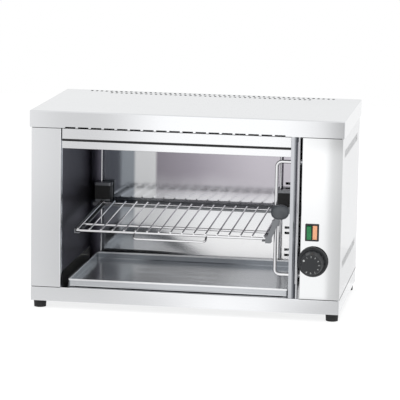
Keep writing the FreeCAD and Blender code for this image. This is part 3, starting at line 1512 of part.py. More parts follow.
def add_mains_inlet():
    """Cable gland through the rear panel with its locknut, and the terminal block above it."""
    thread, bore = size("gland_thread") / 2, size("gland_bore") / 2
    flange = size("gland_flange") / 2
    shoulder = BACK + size("gland_flange_plate")
    outer, inner = BACK + size("gland_reach"), BACK - T - size("gland_inner")
    step, nose = size("gland_step"), outer - size("gland_nose_length")
    body = turned_body("cable_gland", [
        (bore, inner), (thread, inner), (thread, BACK), (flange, BACK), (flange, shoulder),
        (thread + step, shoulder), (thread - step, nose), (thread - size("gland_nose"), outer),
        (bore, outer),
    ])
    place_on_axis("cable_gland", body, GLAND_X, GLAND_Z)

    body = new_body("gland_nut")
    sketch = new_sketch(body, "XZ_Plane", -(BACK - T))
    draw_loop(sketch, hexagon(ZERO, ZERO, size("gland_nut_corner")))
    draw_circle(sketch, ZERO, ZERO, size("gland_thread") + SEAT * 2)
    pad(body, sketch, size("gland_nut_length"))
    place_on_axis("gland_nut", body, GLAND_X, GLAND_Z)

    body = new_body("terminal_block")
    half, tall = size("block_width") / 2, size("block_height") / 2
    sketch = new_sketch(body, "XZ_Plane", -(BACK - T))
    draw_box(sketch, -half, half, -tall, tall)
    pad(body, sketch, size("block_depth"))
    sketch = new_sketch(body, "XY_Plane", tall)
    middle = BACK - T - size("block_depth") / 2
    draw_circle(sketch, -(size("block_pitch") * (BLOCK_WAYS - 1) / 2), middle, size("block_way"))
    way = pocket(body, sketch, size("block_way_depth"))
    repeat(body, way, "X_Axis", size("block_pitch"), BLOCK_WAYS)
    place_on_axis("terminal_block", body, GLAND_X, BLOCK_Z)


def build():
    """Make every sub-part in turn."""
    for maker in (
        add_top_cover, add_casing_left, add_casing_right, add_control_panel, add_jamb_post,
        add_trim_bead, add_base_frame, add_bottom_plate, add_feet, add_rear_panel, add_cavity_liner,
        add_reflector, add_fascia_strip, add_hood_lip, add_elements, add_element_hangers,
        add_element_terminals, add_guide_rods, add_sliders, add_carrier_frame, add_handle,
        add_front_rod, add_wire_rack, add_drip_tray, add_control_knob, add_regulator, add_switch,
        add_mains_inlet, add_fasteners,
    ):
        maker()


def write_parts():
    """Check every object and write each sub-part to its own file."""
    doc.recompute()
    for item in doc.Objects:
        if "Invalid" in item.State or "Error" in item.State:
            raise RuntimeError("%s isn't valid" % item.Label)
    os.makedirs("parts", exist_ok=True)
    for item in parts:
        if item.Shape.isNull() or not item.Shape.isValid() or item.Shape.Volume <= 0:
            raise RuntimeError("%s has no valid shape" % item.Label)
        item.Shape.exportStep(os.path.join("parts", item.Label + ".step"))


build()
write_parts()
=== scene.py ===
import json
import math

import bpy
import numpy as np
from mathutils import Matrix, Vector


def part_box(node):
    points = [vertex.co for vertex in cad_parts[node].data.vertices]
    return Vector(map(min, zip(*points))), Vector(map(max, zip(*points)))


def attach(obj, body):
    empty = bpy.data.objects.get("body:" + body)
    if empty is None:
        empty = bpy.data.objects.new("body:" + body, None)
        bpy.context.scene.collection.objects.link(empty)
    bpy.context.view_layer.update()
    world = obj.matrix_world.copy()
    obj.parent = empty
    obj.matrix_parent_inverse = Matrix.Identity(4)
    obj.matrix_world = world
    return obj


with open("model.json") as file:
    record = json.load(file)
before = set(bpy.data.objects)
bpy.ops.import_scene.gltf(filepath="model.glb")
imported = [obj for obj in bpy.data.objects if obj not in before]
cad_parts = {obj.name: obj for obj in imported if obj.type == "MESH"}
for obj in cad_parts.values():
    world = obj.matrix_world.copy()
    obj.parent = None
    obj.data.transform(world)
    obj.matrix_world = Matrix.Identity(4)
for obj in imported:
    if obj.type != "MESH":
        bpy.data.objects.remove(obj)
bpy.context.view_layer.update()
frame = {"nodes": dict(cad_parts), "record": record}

MM = 0.001
WHITE = (1.0, 1.0, 1.0, 1.0)
# sRGB colours of the finishes, of the printing, of the studio floor, and of painted shade, painted reflection and
# painted light
SRGB = {
    "casing": "#e6e7e9",
    "bright": "#ecedee",
    "lid_top_painted_shade": "#d8dadc",
    "jamb": "#bcbec2",
    "bevel": "#999b9f",
    "bead": "#cbcccf",
    "liner": "#e4e5e7",
    "liner_tint": "#96919a",
    "liner_tint_and_painted_reflection": "#b9b5bc",
    "liner_shade_painted_high": "#999fa6",
    "liner_shade_painted_low": "#c2c6ca",
    "liner_shade": "#6c6a75",
    "liner_painted_light": "#e9e9ea",
    "tray": "#e8e9eb",
    "tray_floor": "#5f6369",
    "tray_marks": "#84878d",
    "tray_painted_reflection_right": "#b6babf",
    "tray_painted_reflection_left": "#b9bdc1",
    "tray_wall": "#9a9fa5",
    "galvanised": "#a9adb0",
    "chrome": "#e6e6e8",
    "fittings": "#7f8184",
    "tube": "#4b4642",
    "zinc": "#c4c6c8",
    "rubber": "#1b1b1c",
    "bearing": "#161617",
    "phenolic": "#44474b",
    "plastic": "#1d1f22",
    "white": "#e9e9e6",
    "green": "#13713f",
    "amber": "#d89b76",
    "ceramic": "#dedbd0",
    "marks": "#a9abab",
    "painted_shade_black": "#1a1a1b",
    "floor": "#f2f2f0",
}
# noise scales are in features per metre
# brushed grain is 0.2 mm wide and 170 mm long, and is drawn 1 mm wide so that it shows
GRAIN_ACROSS, GRAIN_ALONG = 1000.0, 6.0
FLAT = (GRAIN_ALONG, GRAIN_ACROSS, GRAIN_ACROSS)
UPRIGHT = (GRAIN_ACROSS, GRAIN_ACROSS, GRAIN_ALONG)
# marks of turning and drawing, 1.7 mm, and spangle of zinc, 17 mm, the same in every direction
EVEN = (600.0, 600.0, 600.0)
SPANGLE = (60.0, 60.0, 60.0)
# smears of handling, 110 mm, and the wandering edge of the heat tint, 140 mm
SMEAR = 9.0
DRIFT = 7.0
# rubbing across the pan, 110 by 25 mm, and the pores of moulded pieces, drawn 1.1 mm wide so that they show
RUB = (9.0, 40.0, 1.0)
PORES = 900.0
# depth of the grain and of the pores
GRAIN_DEPTH, PORE_DEPTH = 0.2 * MM, 0.3 * MM
# edges sharper than this many degrees stay sharp
SHARP = 35.0


def linear(text):
    """Scene-linear RGBA of an sRGB hex colour."""
    values = [int(text[i:i + 2], 16) / 255 for i in (1, 3, 5)]
    return [v / 12.92 if v <= 0.04045 else ((v + 0.055) / 1.055) ** 2.4 for v in values] + [1.0]


COLOURS = {name: linear(text) for name, text in SRGB.items()}


def add(tree, kind, links=None, **settings):
    """A node with its settings and with constants or other nodes' outputs on its inputs."""
    node = tree.nodes.new(kind)
    for name, value in settings.items():
        setattr(node, name, value)
    for name, value in (links or {}).items():
        socket = node.inputs[name]
        if isinstance(value, bpy.types.NodeSocket):
            tree.links.new(value, socket)
        else:
            socket.default_value = value
    return node


def new_material(name):
    """An empty node material, with its tree and its output."""
    material = bpy.data.materials.new(name)
    material.use_nodes = True
    tree = material.node_tree
    tree.nodes.clear()
    return material, tree, add(tree, "ShaderNodeOutputMaterial")


def object_place(tree):
    """Object coordinates, whole and split into their axes."""
    place = add(tree, "ShaderNodeTexCoord").outputs["Object"]
    return place, add(tree, "ShaderNodeSeparateXYZ", {"Vector": place}).outputs


def eased(tree, zones):
    """For each value with its start and end, how far it has come between them, eased at both ends."""
    return [add(tree, "ShaderNodeMapRange", {"Value": value, "From Min": start, "From Max": end},
                interpolation_type="SMOOTHSTEP").outputs["Result"] for value, start, end in zones]


def turning(tree, value, start, end, first, second):
    """One colour that turns into another while a value goes from start to end, eased at both ends."""
    share, = eased(tree, [(value, start, end)])
    return add(tree, "ShaderNodeMix", {0: share, 6: first, 7: second}, data_type="RGBA").outputs[2]


def banded(tree, place, stops):
    """Grey level that follows stops of place and level."""
    first, last = stops[0][0], stops[-1][0]
    across = add(tree, "ShaderNodeMapRange", {"Value": place, "From Min": first, "From Max": last})
    ramp = add(tree, "ShaderNodeValToRGB", {"Fac": across.outputs["Result"]})
    elements = ramp.color_ramp.elements
    for index, (spot, level) in enumerate(stops):
        share = (spot - first) / (last - first)
        stop = elements[index] if index < 2 else elements.new(share)
        stop.position = share
        stop.color = (level, level, level, 1.0)
    return ramp.outputs["Color"]


def steel(tree, out, colour, rough, stretch, bump, spread, haze=0.0, edge=1.0, metal=1.0, bow=None):
    """Principled metal whose grain is noise stretched along one object axis.

    Haze is roughness added in places, and edge is how much of a grazing reflection is left. A little less metal
    stands for the thin film of baked fat and oxide that scatters light. Bow is a normal that leans where a sheet
    isn't flat.
    """
    place = add(tree, "ShaderNodeTexCoord").outputs["Object"]
    grain = add(tree, "ShaderNodeMapping", {"Vector": place, "Scale": stretch}).outputs["Vector"]
    fine = add(tree, "ShaderNodeTexNoise", {"Vector": grain, "Scale": 1.0, "Detail": 3.0}).outputs["Fac"]
    smear = add(tree, "ShaderNodeTexNoise", {"Vector": place, "Scale": SMEAR, "Detail": 2.0}).outputs["Fac"]
    mixed = add(tree, "ShaderNodeMath", {0: fine, 1: smear}, operation="ADD").outputs[0]
    wear = add(tree, "ShaderNodeMapRange", {
        "Value": mixed, "From Min": 0.6, "From Max": 1.4, "To Min": rough - spread, "To Max": rough + spread,
    }).outputs["Result"]
    wear = add(tree, "ShaderNodeMath", {0: wear, 1: haze}, operation="ADD").outputs[0]
    relief = add(tree, "ShaderNodeBump", {"Height": fine, "Strength": bump, "Distance": GRAIN_DEPTH})
    if bow:
        tree.links.new(bow, relief.inputs["Normal"])
    shader = add(tree, "ShaderNodeBsdfPrincipled", {
        "Base Color": colour, "Metallic": metal, "Roughness": wear, "Normal": relief.outputs["Normal"],
        "Specular Tint": (edge, edge, edge, 1.0),
    })
    tree.links.new(shader.outputs[0], out.inputs["Surface"])


def brushed(name, colour, rough, stretch, bump=0.02, spread=0.03, edge=1.0):
    """Brushed, rolled or drawn metal of one colour."""
    material, tree, out = new_material(name)
    steel(tree, out, COLOURS[colour], rough, stretch, bump, spread, edge=edge)
    return material


def heat_tinted(name):
    """Bright annealed liner: clean and hazed below, violet-grey from heat near the elements, with painted
    reflection, painted shade on the left and painted light low on the right.
    """
    material, tree, out = new_material(name)
    place, axes = object_place(tree)
    across = axes["X"]
    drift = add(tree, "ShaderNodeTexNoise", {"Vector": place, "Scale": DRIFT, "Detail": 2.0}).outputs["Fac"]
    wander, clean = 60 * MM, COLOURS["liner"]
    height = add(tree, "ShaderNodeMath", {0: drift, 1: wander, 2: axes["Z"]}, operation="MULTIPLY_ADD").outputs[0]
    # heat tint that is partly real, with painted reflection in how it fades to the right and stops at the left
    # end of the back wall
    tint = turning(tree, across, -50 * MM, 120 * MM, COLOURS["liner_tint"], COLOURS["liner_tint_and_painted_reflection"])
    tint = turning(tree, across, -106 * MM, -114 * MM, tint, clean)
    tint = turning(tree, height, 165 * MM, 260 * MM, clean, tint)
    # painted shade: towards the left end of the back wall a bluish grey, paler low down, takes the place of the
    # tint
    back_wall_shade = turning(tree, height, 190 * MM, 140 * MM, COLOURS["liner_shade_painted_high"], COLOURS["liner_shade_painted_low"])
    colour = turning(tree, across, -150 * MM, -158 * MM, tint, back_wall_shade)
    # painted shade: the left corner and the left wall turn a dark violet grey
    colour = turning(tree, across, -205 * MM, -228 * MM, colour, COLOURS["liner_shade"])
    # painted light: low down and to the right the wall is painted lighter, and there and in the left corner it is
    # also hazed
    low, right, left_corner = eased(tree, [
        (height, 175 * MM, 125 * MM), (across, -140 * MM, 40 * MM), (across, -200 * MM, -225 * MM),
    ])
    rubbed = add(tree, "ShaderNodeMath", {0: low, 1: right}, operation="MULTIPLY").outputs[0]
    # painted light: a lighter grey mixed in low down on the right
    colour = add(tree, "ShaderNodeMix", {0: rubbed, 6: colour, 7: COLOURS["liner_painted_light"]}, data_type="RGBA")
    low_right_haze, left_corner_haze, tilt = 0.10, 0.22, 0.115
    haze = add(tree, "ShaderNodeMath", {0: rubbed, 1: low_right_haze}, operation="MULTIPLY").outputs[0]
    haze = add(tree, "ShaderNodeMath", {0: left_corner, 1: left_corner_haze, 2: haze}, operation="MULTIPLY_ADD").outputs[0]
    # the thin back sheet bows a little above its bottom edge and mirrors the light before the toaster
    rise = add(tree, "ShaderNodeMath", {0: rubbed, 1: tilt}, operation="MULTIPLY").outputs[0]
    lift = add(tree, "ShaderNodeCombineXYZ", {"Z": rise}).outputs[0]
    facing = add(tree, "ShaderNodeNewGeometry").outputs["Normal"]
    leaning = add(tree, "ShaderNodeVectorMath", {0: facing, 1: lift}, operation="ADD").outputs[0]
    bow = add(tree, "ShaderNodeVectorMath", {0: leaning}, operation="NORMALIZE").outputs[0]
    steel(tree, out, colour.outputs[2], 0.09, UPRIGHT, bump=0.006, spread=0.02, haze=haze, edge=0.54, metal=0.94,
          bow=bow)
    return material


def lid_sheet(name):
    """Brushed casing sheet whose top is painted a little darker than its rolled front, as painted shade."""
    material, tree, out = new_material(name)
    axes = object_place(tree)[1]
    # painted shade: the top face gets a darker grey than the rolled front
    colour = turning(tree, axes["Z"], 381.5 * MM, 382.8 * MM, COLOURS["casing"], COLOURS["lid_top_painted_shade"])
    steel(tree, out, colour, 0.14, FLAT, bump=0.012, spread=0.03)
    return material


def bevelled_jamb(name):
    """Bright rolled jamb whose slanted face, turned to the controls, is painted a dull grey as a painted
    reflection of the dark knob.
    """
    material, tree, out = new_material(name)
    axes = object_place(tree)[1]
    # painted reflection: past this edge the jamb takes a darker grey, the mirrored dark controls
    colour = turning(tree, axes["X"], 205.4 * MM, 206.2 * MM, COLOURS["jamb"], COLOURS["bevel"])
    steel(tree, out, colour, 0.12, UPRIGHT, bump=0.008, spread=0.03)
    return material


def used_pan(name):
    """Stainless pan: bright rim and front, walls greyer, a darker floor rubbed across, and painted reflection
    that lightens the floor towards both ends.
    """
    material, tree, out = new_material(name)
    place, axes = object_place(tree)
    rubbed = add(tree, "ShaderNodeMapping", {"Vector": place, "Scale": RUB}).outputs["Vector"]
    marks = add(tree, "ShaderNodeTexNoise", {"Vector": rubbed, "Scale": 1.0, "Detail": 4.0}).outputs["Fac"]
    dull = turning(tree, marks, 0.35, 0.75, COLOURS["tray_floor"], COLOURS["tray_marks"])
    # painted reflection: the floor turns lighter towards the right and the left
    dull = turning(tree, axes["X"], 20 * MM, 120 * MM, dull, COLOURS["tray_painted_reflection_right"])
    dull = turning(tree, axes["X"], -100 * MM, -150 * MM, dull, COLOURS["tray_painted_reflection_left"])
    dull = turning(tree, axes["Z"], 45.8 * MM, 47.0 * MM, dull, COLOURS["tray_wall"])
    rim, front = eased(tree, [(axes["Z"], 54.5 * MM, 56.0 * MM), (axes["Y"], -143.8 * MM, -145.0 * MM)])
    outside = add(tree, "ShaderNodeMath", {0: rim, 1: front}, operation="MAXIMUM").outputs[0]
    colour = add(tree, "ShaderNodeMix", {0: outside, 6: dull, 7: COLOURS["tray"]}, data_type="RGBA").outputs[2]
    steel(tree, out, colour, 0.19, FLAT, bump=0.008, spread=0.05, metal=0.74)
    return material


def moulded(name, colour, rough, grain=0.05, glow=0.0):
    """Moulded plastic, rubber or ceramic with faint pores, and a faint painted glow standing in for light that
    comes through.
    """
    material, tree, out = new_material(name)
    place = add(tree, "ShaderNodeTexCoord").outputs["Object"]
    pores = add(tree, "ShaderNodeTexNoise", {"Vector": place, "Scale": PORES, "Detail": 2.0}).outputs["Fac"]
    wear = add(tree, "ShaderNodeMapRange", {
        "Value": pores, "From Min": 0.3, "From Max": 0.7, "To Min": rough - 0.05, "To Max": rough + 0.05,
    }).outputs["Result"]
    relief = add(tree, "ShaderNodeBump", {"Height": pores, "Strength": grain, "Distance": PORE_DEPTH})
    shader = add(tree, "ShaderNodeBsdfPrincipled", {
        "Base Color": COLOURS[colour], "Roughness": wear, "Normal": relief.outputs["Normal"],
        "Emission Color": COLOURS[colour], "Emission Strength": glow,
    })
    tree.links.new(shader.outputs[0], out.inputs["Surface"])
    return material


MATERIALS = {
    # stainless sheet, fine brushed along the width: blurred mirror images with faint level streaks
    "stainless_casing": brushed("stainless_casing", "casing", 0.20, FLAT, bump=0.012),
    # stainless strip, cold rolled: clearer mirror images with faint upright streaks
    "stainless_bright": brushed("stainless_bright", "bright", 0.12, UPRIGHT, bump=0.008),
    # stainless sheet, bright annealed and then tinted by heat: nearly a mirror, violet-grey above, with painted
    # reflection, painted shade and painted light in its colour
    "stainless_mirror": heat_tinted("stainless_mirror"),
    # stainless pan, pressed and dulled in use: bright rim, grey blurred floor, painted lighter towards its ends
    # as painted reflection
    "stainless_tray": used_pan("stainless_tray"),
    # steel sheet, hot-dip galvanised: pale dull grey with faint spangle
    "galvanised_sheet": brushed("galvanised_sheet", "galvanised", 0.45, SPANGLE, spread=0.1),
    # steel wire and rod, drawn and chromium plated: bright with dark mirrored edges
    "chromed_wire": brushed("chromed_wire", "chrome", 0.10, EVEN, bump=0.004),
    # steel fittings, machined and nickel plated: satin mid grey
    "steel_fittings": brushed("steel_fittings", "fittings", 0.30, EVEN),
    # heating tube, drawn and oxidised by use: dark brown-grey with a dull sheen
    "oxidised_tube": brushed("oxidised_tube", "tube", 0.50, EVEN),
    # screws, cold headed and zinc plated: pale satin
    "zinc_screws": brushed("zinc_screws", "zinc", 0.28, EVEN),
    # rubber feet, moulded: matt black
    "black_rubber": moulded("black_rubber", "rubber", 0.75, 0.2),
    # bearing plastic with graphite, moulded: satin black
    "black_bearing": moulded("black_bearing", "bearing", 0.45),
    # ABS, moulded: satin black
    "black_plastic": moulded("black_plastic", "plastic", 0.38),
    # ABS, moulded: satin white
    "white_plastic": moulded("white_plastic", "white", 0.4),
    # polycarbonate, moulded and dyed green: glossy, with a faint painted glow for the light that comes through
    "green_lens": moulded("green_lens", "green", 0.22, 0.01, 0.10),
    # polycarbonate, moulded and dyed amber: glossy, with a faint painted glow for the light that comes through
    "amber_lens": moulded("amber_lens", "amber", 0.18, 0.01, 0.12),
    # steatite ceramic, glazed: smooth cream white
    "ceramic_white": moulded("ceramic_white", "ceramic", 0.35),
}
# pieces with a finish of their own: smoother panel, lid top with painted shade, bevelled jamb with painted
# reflection, satin bead, phenolic ball, print
OWN = {
    "control_panel": brushed("stainless_panel", "bright", 0.08, FLAT, bump=0.008, spread=0.015),
    "top_cover": lid_sheet("stainless_lid"),
    "jamb_post": bevelled_jamb("stainless_jamb"),
    "trim_bead": brushed("stainless_bead", "bead", 0.16, UPRIGHT, bump=0.008),
    "casing_right": brushed("stainless_side", "casing", 0.20, FLAT, bump=0.012, edge=0.97),
    "ball_knob": moulded("phenolic_ball", "phenolic", 0.36, 0.03),
    "knob_pointer": moulded("printed_dot", "marks", 0.5, 0.01),
}
# pad-printed numbers on the knob: matt pale grey
PRINT = moulded("printed_numbers", "marks", 0.5, 0.01)
# matt black strips put in along the shut lines between the sheets as painted shade
SHUT = moulded("painted_shade_strip", "painted_shade_black", 0.8, 0.1)

slots = {row["node"]: row["material_slot"] for row in frame["record"]["subparts"]}
for name, node in frame["nodes"].items():
    node.data.materials.clear()
    node.data.materials.append(OWN.get(name) or MATERIALS[slots[name]])
    node.data.shade_smooth()
    node.data.set_sharp_from_angle(angle=math.radians(SHARP))


def add_camera():
    """The photograph's camera: long lens, right of, in front of and above the toaster."""
    yaw, pitch, roll = (math.radians(a) for a in (8.843, 9.72, 0.968))
    look, distance = Vector((3.2 * MM, 10.65 * MM, 194.8 * MM)), 4.6923
    focal_pixels, frame_pixels, sensor = 2397.2, 400.0, 36.0
    ahead = Vector((-math.sin(yaw) * math.cos(pitch), math.cos(yaw) * math.cos(pitch), -math.sin(pitch)))
    right = ahead.cross(Vector((0, 0, 1))).normalized()
    up = right.cross(ahead)
    turned = right * math.cos(roll) + up * math.sin(roll)
    above = up * math.cos(roll) - right * math.sin(roll)
    data = bpy.data.cameras.new("photo_camera")
    data.sensor_width = sensor
    data.lens = focal_pixels / frame_pixels * sensor
    camera = bpy.data.objects.new("photo_camera", data)
    bpy.context.scene.collection.objects.link(camera)
    axes = Matrix((turned, above, -ahead)).transposed().to_4x4()
    camera.matrix_world = Matrix.Translation(look - ahead * distance) @ axes
    bpy.context.scene.camera = camera


def seen_as(tree, shader, shown):
    """One shader for the light it gives, another as the camera, mirrors and glass show it."""
    rays = add(tree, "ShaderNodeLightPath").outputs
    first = add(tree, "ShaderNodeMath", {0: rays["Is Camera Ray"], 1: rays["Is Glossy Ray"]}, operation="MAXIMUM")
    seen = add(tree, "ShaderNodeMath", {0: first.outputs[0], 1: rays["Is Transmission Ray"]}, operation="MAXIMUM")
    return add(tree, "ShaderNodeMixShader", {0: seen.outputs[0], 1: shader, 2: shown}).outputs[0]


def stage_sheet(name, corners, faces, material):
    """A flat piece of the studio."""
    mesh = bpy.data.meshes.new(name)
    mesh.from_pydata(corners, [], faces)
    mesh.materials.append(material)
    sheet = bpy.data.objects.new(name, mesh)
    bpy.context.scene.collection.objects.link(sheet)
    return sheet


def reflected_only(sheet):
    """Let a studio sheet show in reflections alone."""
    for kind in ("camera", "diffuse", "transmission", "volume_scatter", "shadow"):
        setattr(sheet, "visible_" + kind, False)


def add_soft_sheets():
    """Slightly uneven reflector sheets on the floor and upright, behind the toaster and at its sides."""
    low, top = 1 * MM, 0.45
    # name, axis the brightness follows, direction outwards, nearest and farthest place that way, stops
    sheets = (
        ("back_reflector", "X", (0, 1), 0.22, 0.9,
         ((-1.2, 0.82), (-0.34, 0.93), (-0.08, 0.95), (0.12, 0.74), (0.25, 0.84), (0.34, 1.0), (1.2, 0.98))),
        ("left_reflector", "Y", (-1, 0), 0.33, 0.9, ((-0.2, 0.95), (0.06, 0.78), (0.3, 0.93), (0.6, 0.9))),
        ("right_reflector", "Y", (1, 0), 0.33, 0.9, ((-0.2, 0.95), (0.06, 0.80), (0.3, 0.88), (0.6, 0.86))),
    )
    for name, axis, (out_x, out_y), near, far, stops in sheets:
        material, tree, out = new_material(name)
        axes = object_place(tree)[1]
        glow = add(tree, "ShaderNodeEmission", {"Color": banded(tree, axes[axis], stops), "Strength": 1.0})
        tree.links.new(glow.outputs[0], out.inputs["Surface"])
        corners = []
        for reach, z in ((near, low), (far, low), (far, top)):
            for along in (stops[0][0], stops[-1][0]):
                corners.append((out_x * reach + abs(out_y) * along, out_y * reach + abs(out_x) * along, z))
        reflected_only(stage_sheet(name, corners, [(0, 1, 3, 2), (2, 3, 5, 4)], material))


def add_front_sheet():
    """Reflector sheet before the toaster, whose brightness changes across, as softboxes side by side give.

    Its floor part lies nearer than its upright part at Y = upright, so the pattern follows
    along = X - (Y - upright) (slide + lean X), where the steel mirrors both parts in line.
    """
    upright, nearest, half, low, top = -0.76, -0.20, 1.2, 1 * MM, 0.9
    slide, lean = 0.1566, -0.2194
    material, tree, out = new_material("front_reflector")
    axes = object_place(tree)[1]
    share = add(tree, "ShaderNodeMath", {0: axes["X"], 1: lean, 2: slide}, operation="MULTIPLY_ADD").outputs[0]
    nearer = add(tree, "ShaderNodeMath", {0: axes["Y"], 1: -upright}, operation="ADD").outputs[0]
    shift = add(tree, "ShaderNodeMath", {0: share, 1: nearer}, operation="MULTIPLY").outputs[0]
    along = add(tree, "ShaderNodeMath", {0: axes["X"], 1: shift}, operation="SUBTRACT").outputs[0]
    bands = banded(tree, along, (
        (-1.2, 0.72), (-0.47, 0.77), (-0.431, 0.73), (-0.365, 0.61), (-0.276, 0.60), (-0.150, 0.97),
        (0.209, 0.97), (0.214, 0.67), (0.245, 0.55), (1.2, 0.50)))
    # what the base band mirrors changes more gently
    gentle = banded(tree, along, (
        (-1.2, 0.72), (-0.407, 0.72), (-0.276, 0.71), (-0.191, 0.76), (-0.148, 0.83), (-0.061, 1.02),
        (-0.018, 1.08), (0.068, 1.03), (0.112, 0.89), (0.199, 0.67), (0.260, 0.61), (1.2, 0.55)))
    bands = turning(tree, axes["Y"], -0.370, -0.340, bands, gentle)
    # the upright part is brighter from 0.2 m up, and dims again higher up at its right end
    power = add(tree, "ShaderNodeMapRange", {
        "Value": axes["Z"], "From Min": 0.06, "From Max": 0.18, "To Min": 1.14, "To Max": 1.3,
    }).outputs["Result"]
    fade = add(tree, "ShaderNodeMapRange", {
        "Value": along, "From Min": 0.12, "From Max": 0.26, "To Min": 0.0, "To Max": 0.31,
    }).outputs["Result"]
    above, = eased(tree, [(axes["Z"], 0.225, 0.255)])
    dimmed = add(tree, "ShaderNodeMath", {0: above, 1: fade}, operation="MULTIPLY").outputs[0]
    left = add(tree, "ShaderNodeMath", {0: 1.0, 1: dimmed}, operation="SUBTRACT").outputs[0]
    power = add(tree, "ShaderNodeMath", {0: power, 1: left}, operation="MULTIPLY").outputs[0]
    level = add(tree, "ShaderNodeMath", {0: bands, 1: power}, operation="MULTIPLY").outputs[0]
    # above what the front mirrors, the sheet is an even white
    even = turning(tree, axes["Z"], 0.42, 0.55, level, WHITE)
    glow = add(tree, "ShaderNodeEmission", {"Color": even, "Strength": 1.0}).outputs[0]
    tree.links.new(glow, out.inputs["Surface"])
    corners = [(-half, nearest, low), (half, nearest, low), (half, upright, low), (-half, upright, low),
               (half, upright, top), (-half, upright, top)]
    reflected_only(stage_sheet("front_reflector", corners, [(0, 3, 2, 1), (3, 5, 4, 2)], material))


def add_studio():
    """Pale floor, white backdrop, soft lights and the sheets that the steel reflects."""
    material, tree, out = new_material("floor")
    diffuse = add(tree, "ShaderNodeBsdfDiffuse", {"Color": COLOURS["floor"]}).outputs[0]
    # the camera and mirrors see a floor that is nearly white by itself, on which the shadow stays
    faint = add(tree, "ShaderNodeBsdfDiffuse", {"Color": (0.30, 0.30, 0.30, 1.0)}).outputs[0]
    glow = add(tree, "ShaderNodeEmission", {"Color": WHITE, "Strength": 0.78}).outputs[0]
    shaded = add(tree, "ShaderNodeAddShader", {0: faint, 1: glow}).outputs[0]
    tree.links.new(seen_as(tree, diffuse, shaded), out.inputs["Surface"])
    half, low = 3.0, -0.5 * MM
    corners = [(-half, -half, low), (half, -half, low), (half, half, low), (-half, half, low)]
    stage_sheet("floor", corners, [(0, 1, 2, 3)], material)
    world = bpy.data.worlds.new("studio")
    world.use_nodes = True
    tree = world.node_tree
    tree.nodes.clear()
    out = add(tree, "ShaderNodeOutputWorld")
    dim = add(tree, "ShaderNodeBackground", {"Color": WHITE, "Strength": 0.75}).outputs[0]
    white = add(tree, "ShaderNodeBackground", {"Color": WHITE, "Strength": 1.0}).outputs[0]
    tree.links.new(seen_as(tree, dim, white), out.inputs["Surface"])
    bpy.context.scene.world = world
    add_front_sheet()
    add_soft_sheets()
    aim = Vector((0, 0, 0.2))
    # name, place, side of the square and power in watts
    lamps = (
        ("key", (-1.2, -2.2, 1.8), 1.6, 28),
        ("fill", (1.9, -1.6, 1.2), 1.4, 12),
        ("top", (0.1, 0.1, 2.2), 1.8, 18),
    )
    for name, place, side, power in lamps:
        data = bpy.data.lights.new(name, "AREA")
        data.size = side
        data.energy = power
        lamp = bpy.data.objects.new(name, data)
        bpy.context.scene.collection.objects.link(lamp)
        lamp.visible_glossy = False
        lamp.location = place
        lamp.rotation_mode = "QUATERNION"
        lamp.rotation_quaternion = (aim - Vector(place)).to_track_quat("-Z", "Y")


def new_piece(name, points, faces, material, body):
    """A finished piece from its points and faces, riding on a body."""
    mesh = bpy.data.meshes.new(name)
    mesh.from_pydata(points, [], faces)
    mesh.materials.append(material)
    mesh.update()
    piece = bpy.data.objects.new(name, mesh)
    bpy.context.scene.collection.objects.link(piece)
    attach(piece, body)
    return piece


def add_shut_line(name, path, height):
    """Thin dark strip of painted shade along a path: its section is a rectangle carried along points (x, y, z)
    with outward (u, v).

    Each ring holds the four corners z +- height / 2 by in, out = -proud, +proud along the outward direction.
    """
    proud = 0.25 * MM
    path = np.array(path, dtype=float)
    count = len(path)
    side, rise = np.array([-1, 1, 1, -1]), np.array([-0.5, -0.5, 0.5, 0.5])
    rings = np.repeat(path[:, None, :3], 4, axis=1)
    rings[:, :, :2] += path[:, None, 3:5] * proud * side[:, None]
    rings[:, :, 2] += height * rise
    ring, corner = 4 * np.arange(count - 1)[:, None], np.arange(4)
    following = (corner + 1) % 4
    walls = np.stack([ring + 4 + corner, ring + 4 + following, ring + following, ring + corner], axis=-1)
    ends = [[0, 1, 2, 3], [4 * count - 1, 4 * count - 2, 4 * count - 3, 4 * count - 4]]
    new_piece(name, rings.reshape(-1, 3).tolist(), walls.reshape(-1, 4).tolist() + ends, SHUT,
              "casing")


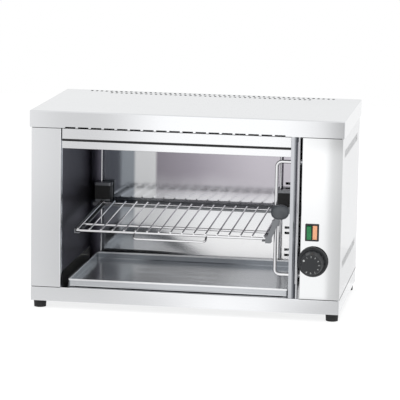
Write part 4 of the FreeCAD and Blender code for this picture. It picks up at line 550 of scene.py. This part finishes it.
def add_numbers():
    """Printed numbers 1 to 9 round the knob's face, clockwise from the pointer dot.

    Number n stands at 150 - 30 n degrees. It is turned by that angle less a quarter turn, and moved out to the
    ring's radius.
    """
    start, step = 150, 30
    radius, size, thick = 15.4 * MM, 5.0 * MM, 0.06 * MM
    low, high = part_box("control_knob")
    middle = np.array([(low[0] + high[0]) / 2, low[1], (low[2] + high[2]) / 2])
    points, faces = [], []
    for number in range(1, 10):
        curve = bpy.data.curves.new("number", "FONT")
        curve.body = str(number)
        curve.size = size
        curve.resolution_u = 4
        curve.extrude = thick
        curve.align_x = curve.align_y = "CENTER"
        holder = bpy.data.objects.new("number", curve)
        mesh = bpy.data.meshes.new_from_object(holder)
        flat = np.empty(len(mesh.vertices) * 3)
        mesh.vertices.foreach_get("co", flat)
        across, rise, depth = flat.reshape(-1, 3).T
        angle = math.radians(start - step * number)
        turn = angle - math.pi / 2
        x = across * math.cos(turn) - rise * math.sin(turn) + radius * math.cos(angle)
        z = across * math.sin(turn) + rise * math.cos(turn) + radius * math.sin(angle)
        faces += [tuple(len(points) + i for i in face.vertices) for face in mesh.polygons]
        points += (np.stack([x, -depth, z], axis=1) + middle).tolist()
        bpy.data.objects.remove(holder)
        bpy.data.curves.remove(curve)
    new_piece("knob_numbers", points, faces, PRINT, "knob")


def add_shut_lines():
    """Painted shade: dark strips where the pillar and the panel meet the base and the lid, and in the gap between
    the two hood strips.
    """
    base_seam, lid_seam, short = 0.8 * MM, 1.6 * MM, 2 * MM
    base_low, base_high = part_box("base_frame")
    lid_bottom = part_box("top_cover")[0][2]
    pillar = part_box("casing_left")[1][0]
    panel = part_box("control_panel")[0][0]
    left, front = base_low[:2]
    right, back = base_high[:2]
    for level, z, height in (("base", base_high[2], base_seam), ("lid", lid_bottom - lid_seam / 2, lid_seam)):
        for place, start, end in (
            ("pillar_", (left + short, front, z, 0, -1), (pillar, front, z, 0, -1)),
            ("panel_", (panel, front, z, 0, -1), (right - short, front, z, 0, -1)),
            ("right_", (right, front + short, z, 1, 0), (right, back - short, z, 1, 0)),
        ):
            add_shut_line("painted_shade_line_" + place + level, [start, end], height)
    gap, set_back, clear = 4 * MM, 1 * MM, 0.2 * MM
    strip_low, strip_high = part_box("fascia_strip")
    depth, middle = strip_low[1] + set_back, strip_low[2] - gap / 2
    add_shut_line("hood_gap_painted_shade", [(strip_low[0], depth, middle, 0, -1), (strip_high[0], depth, middle, 0, -1)],
                  gap - clear)


add_camera()
add_studio()
add_numbers()
add_shut_lines()
bpy.context.scene.view_settings.view_transform = "Standard"
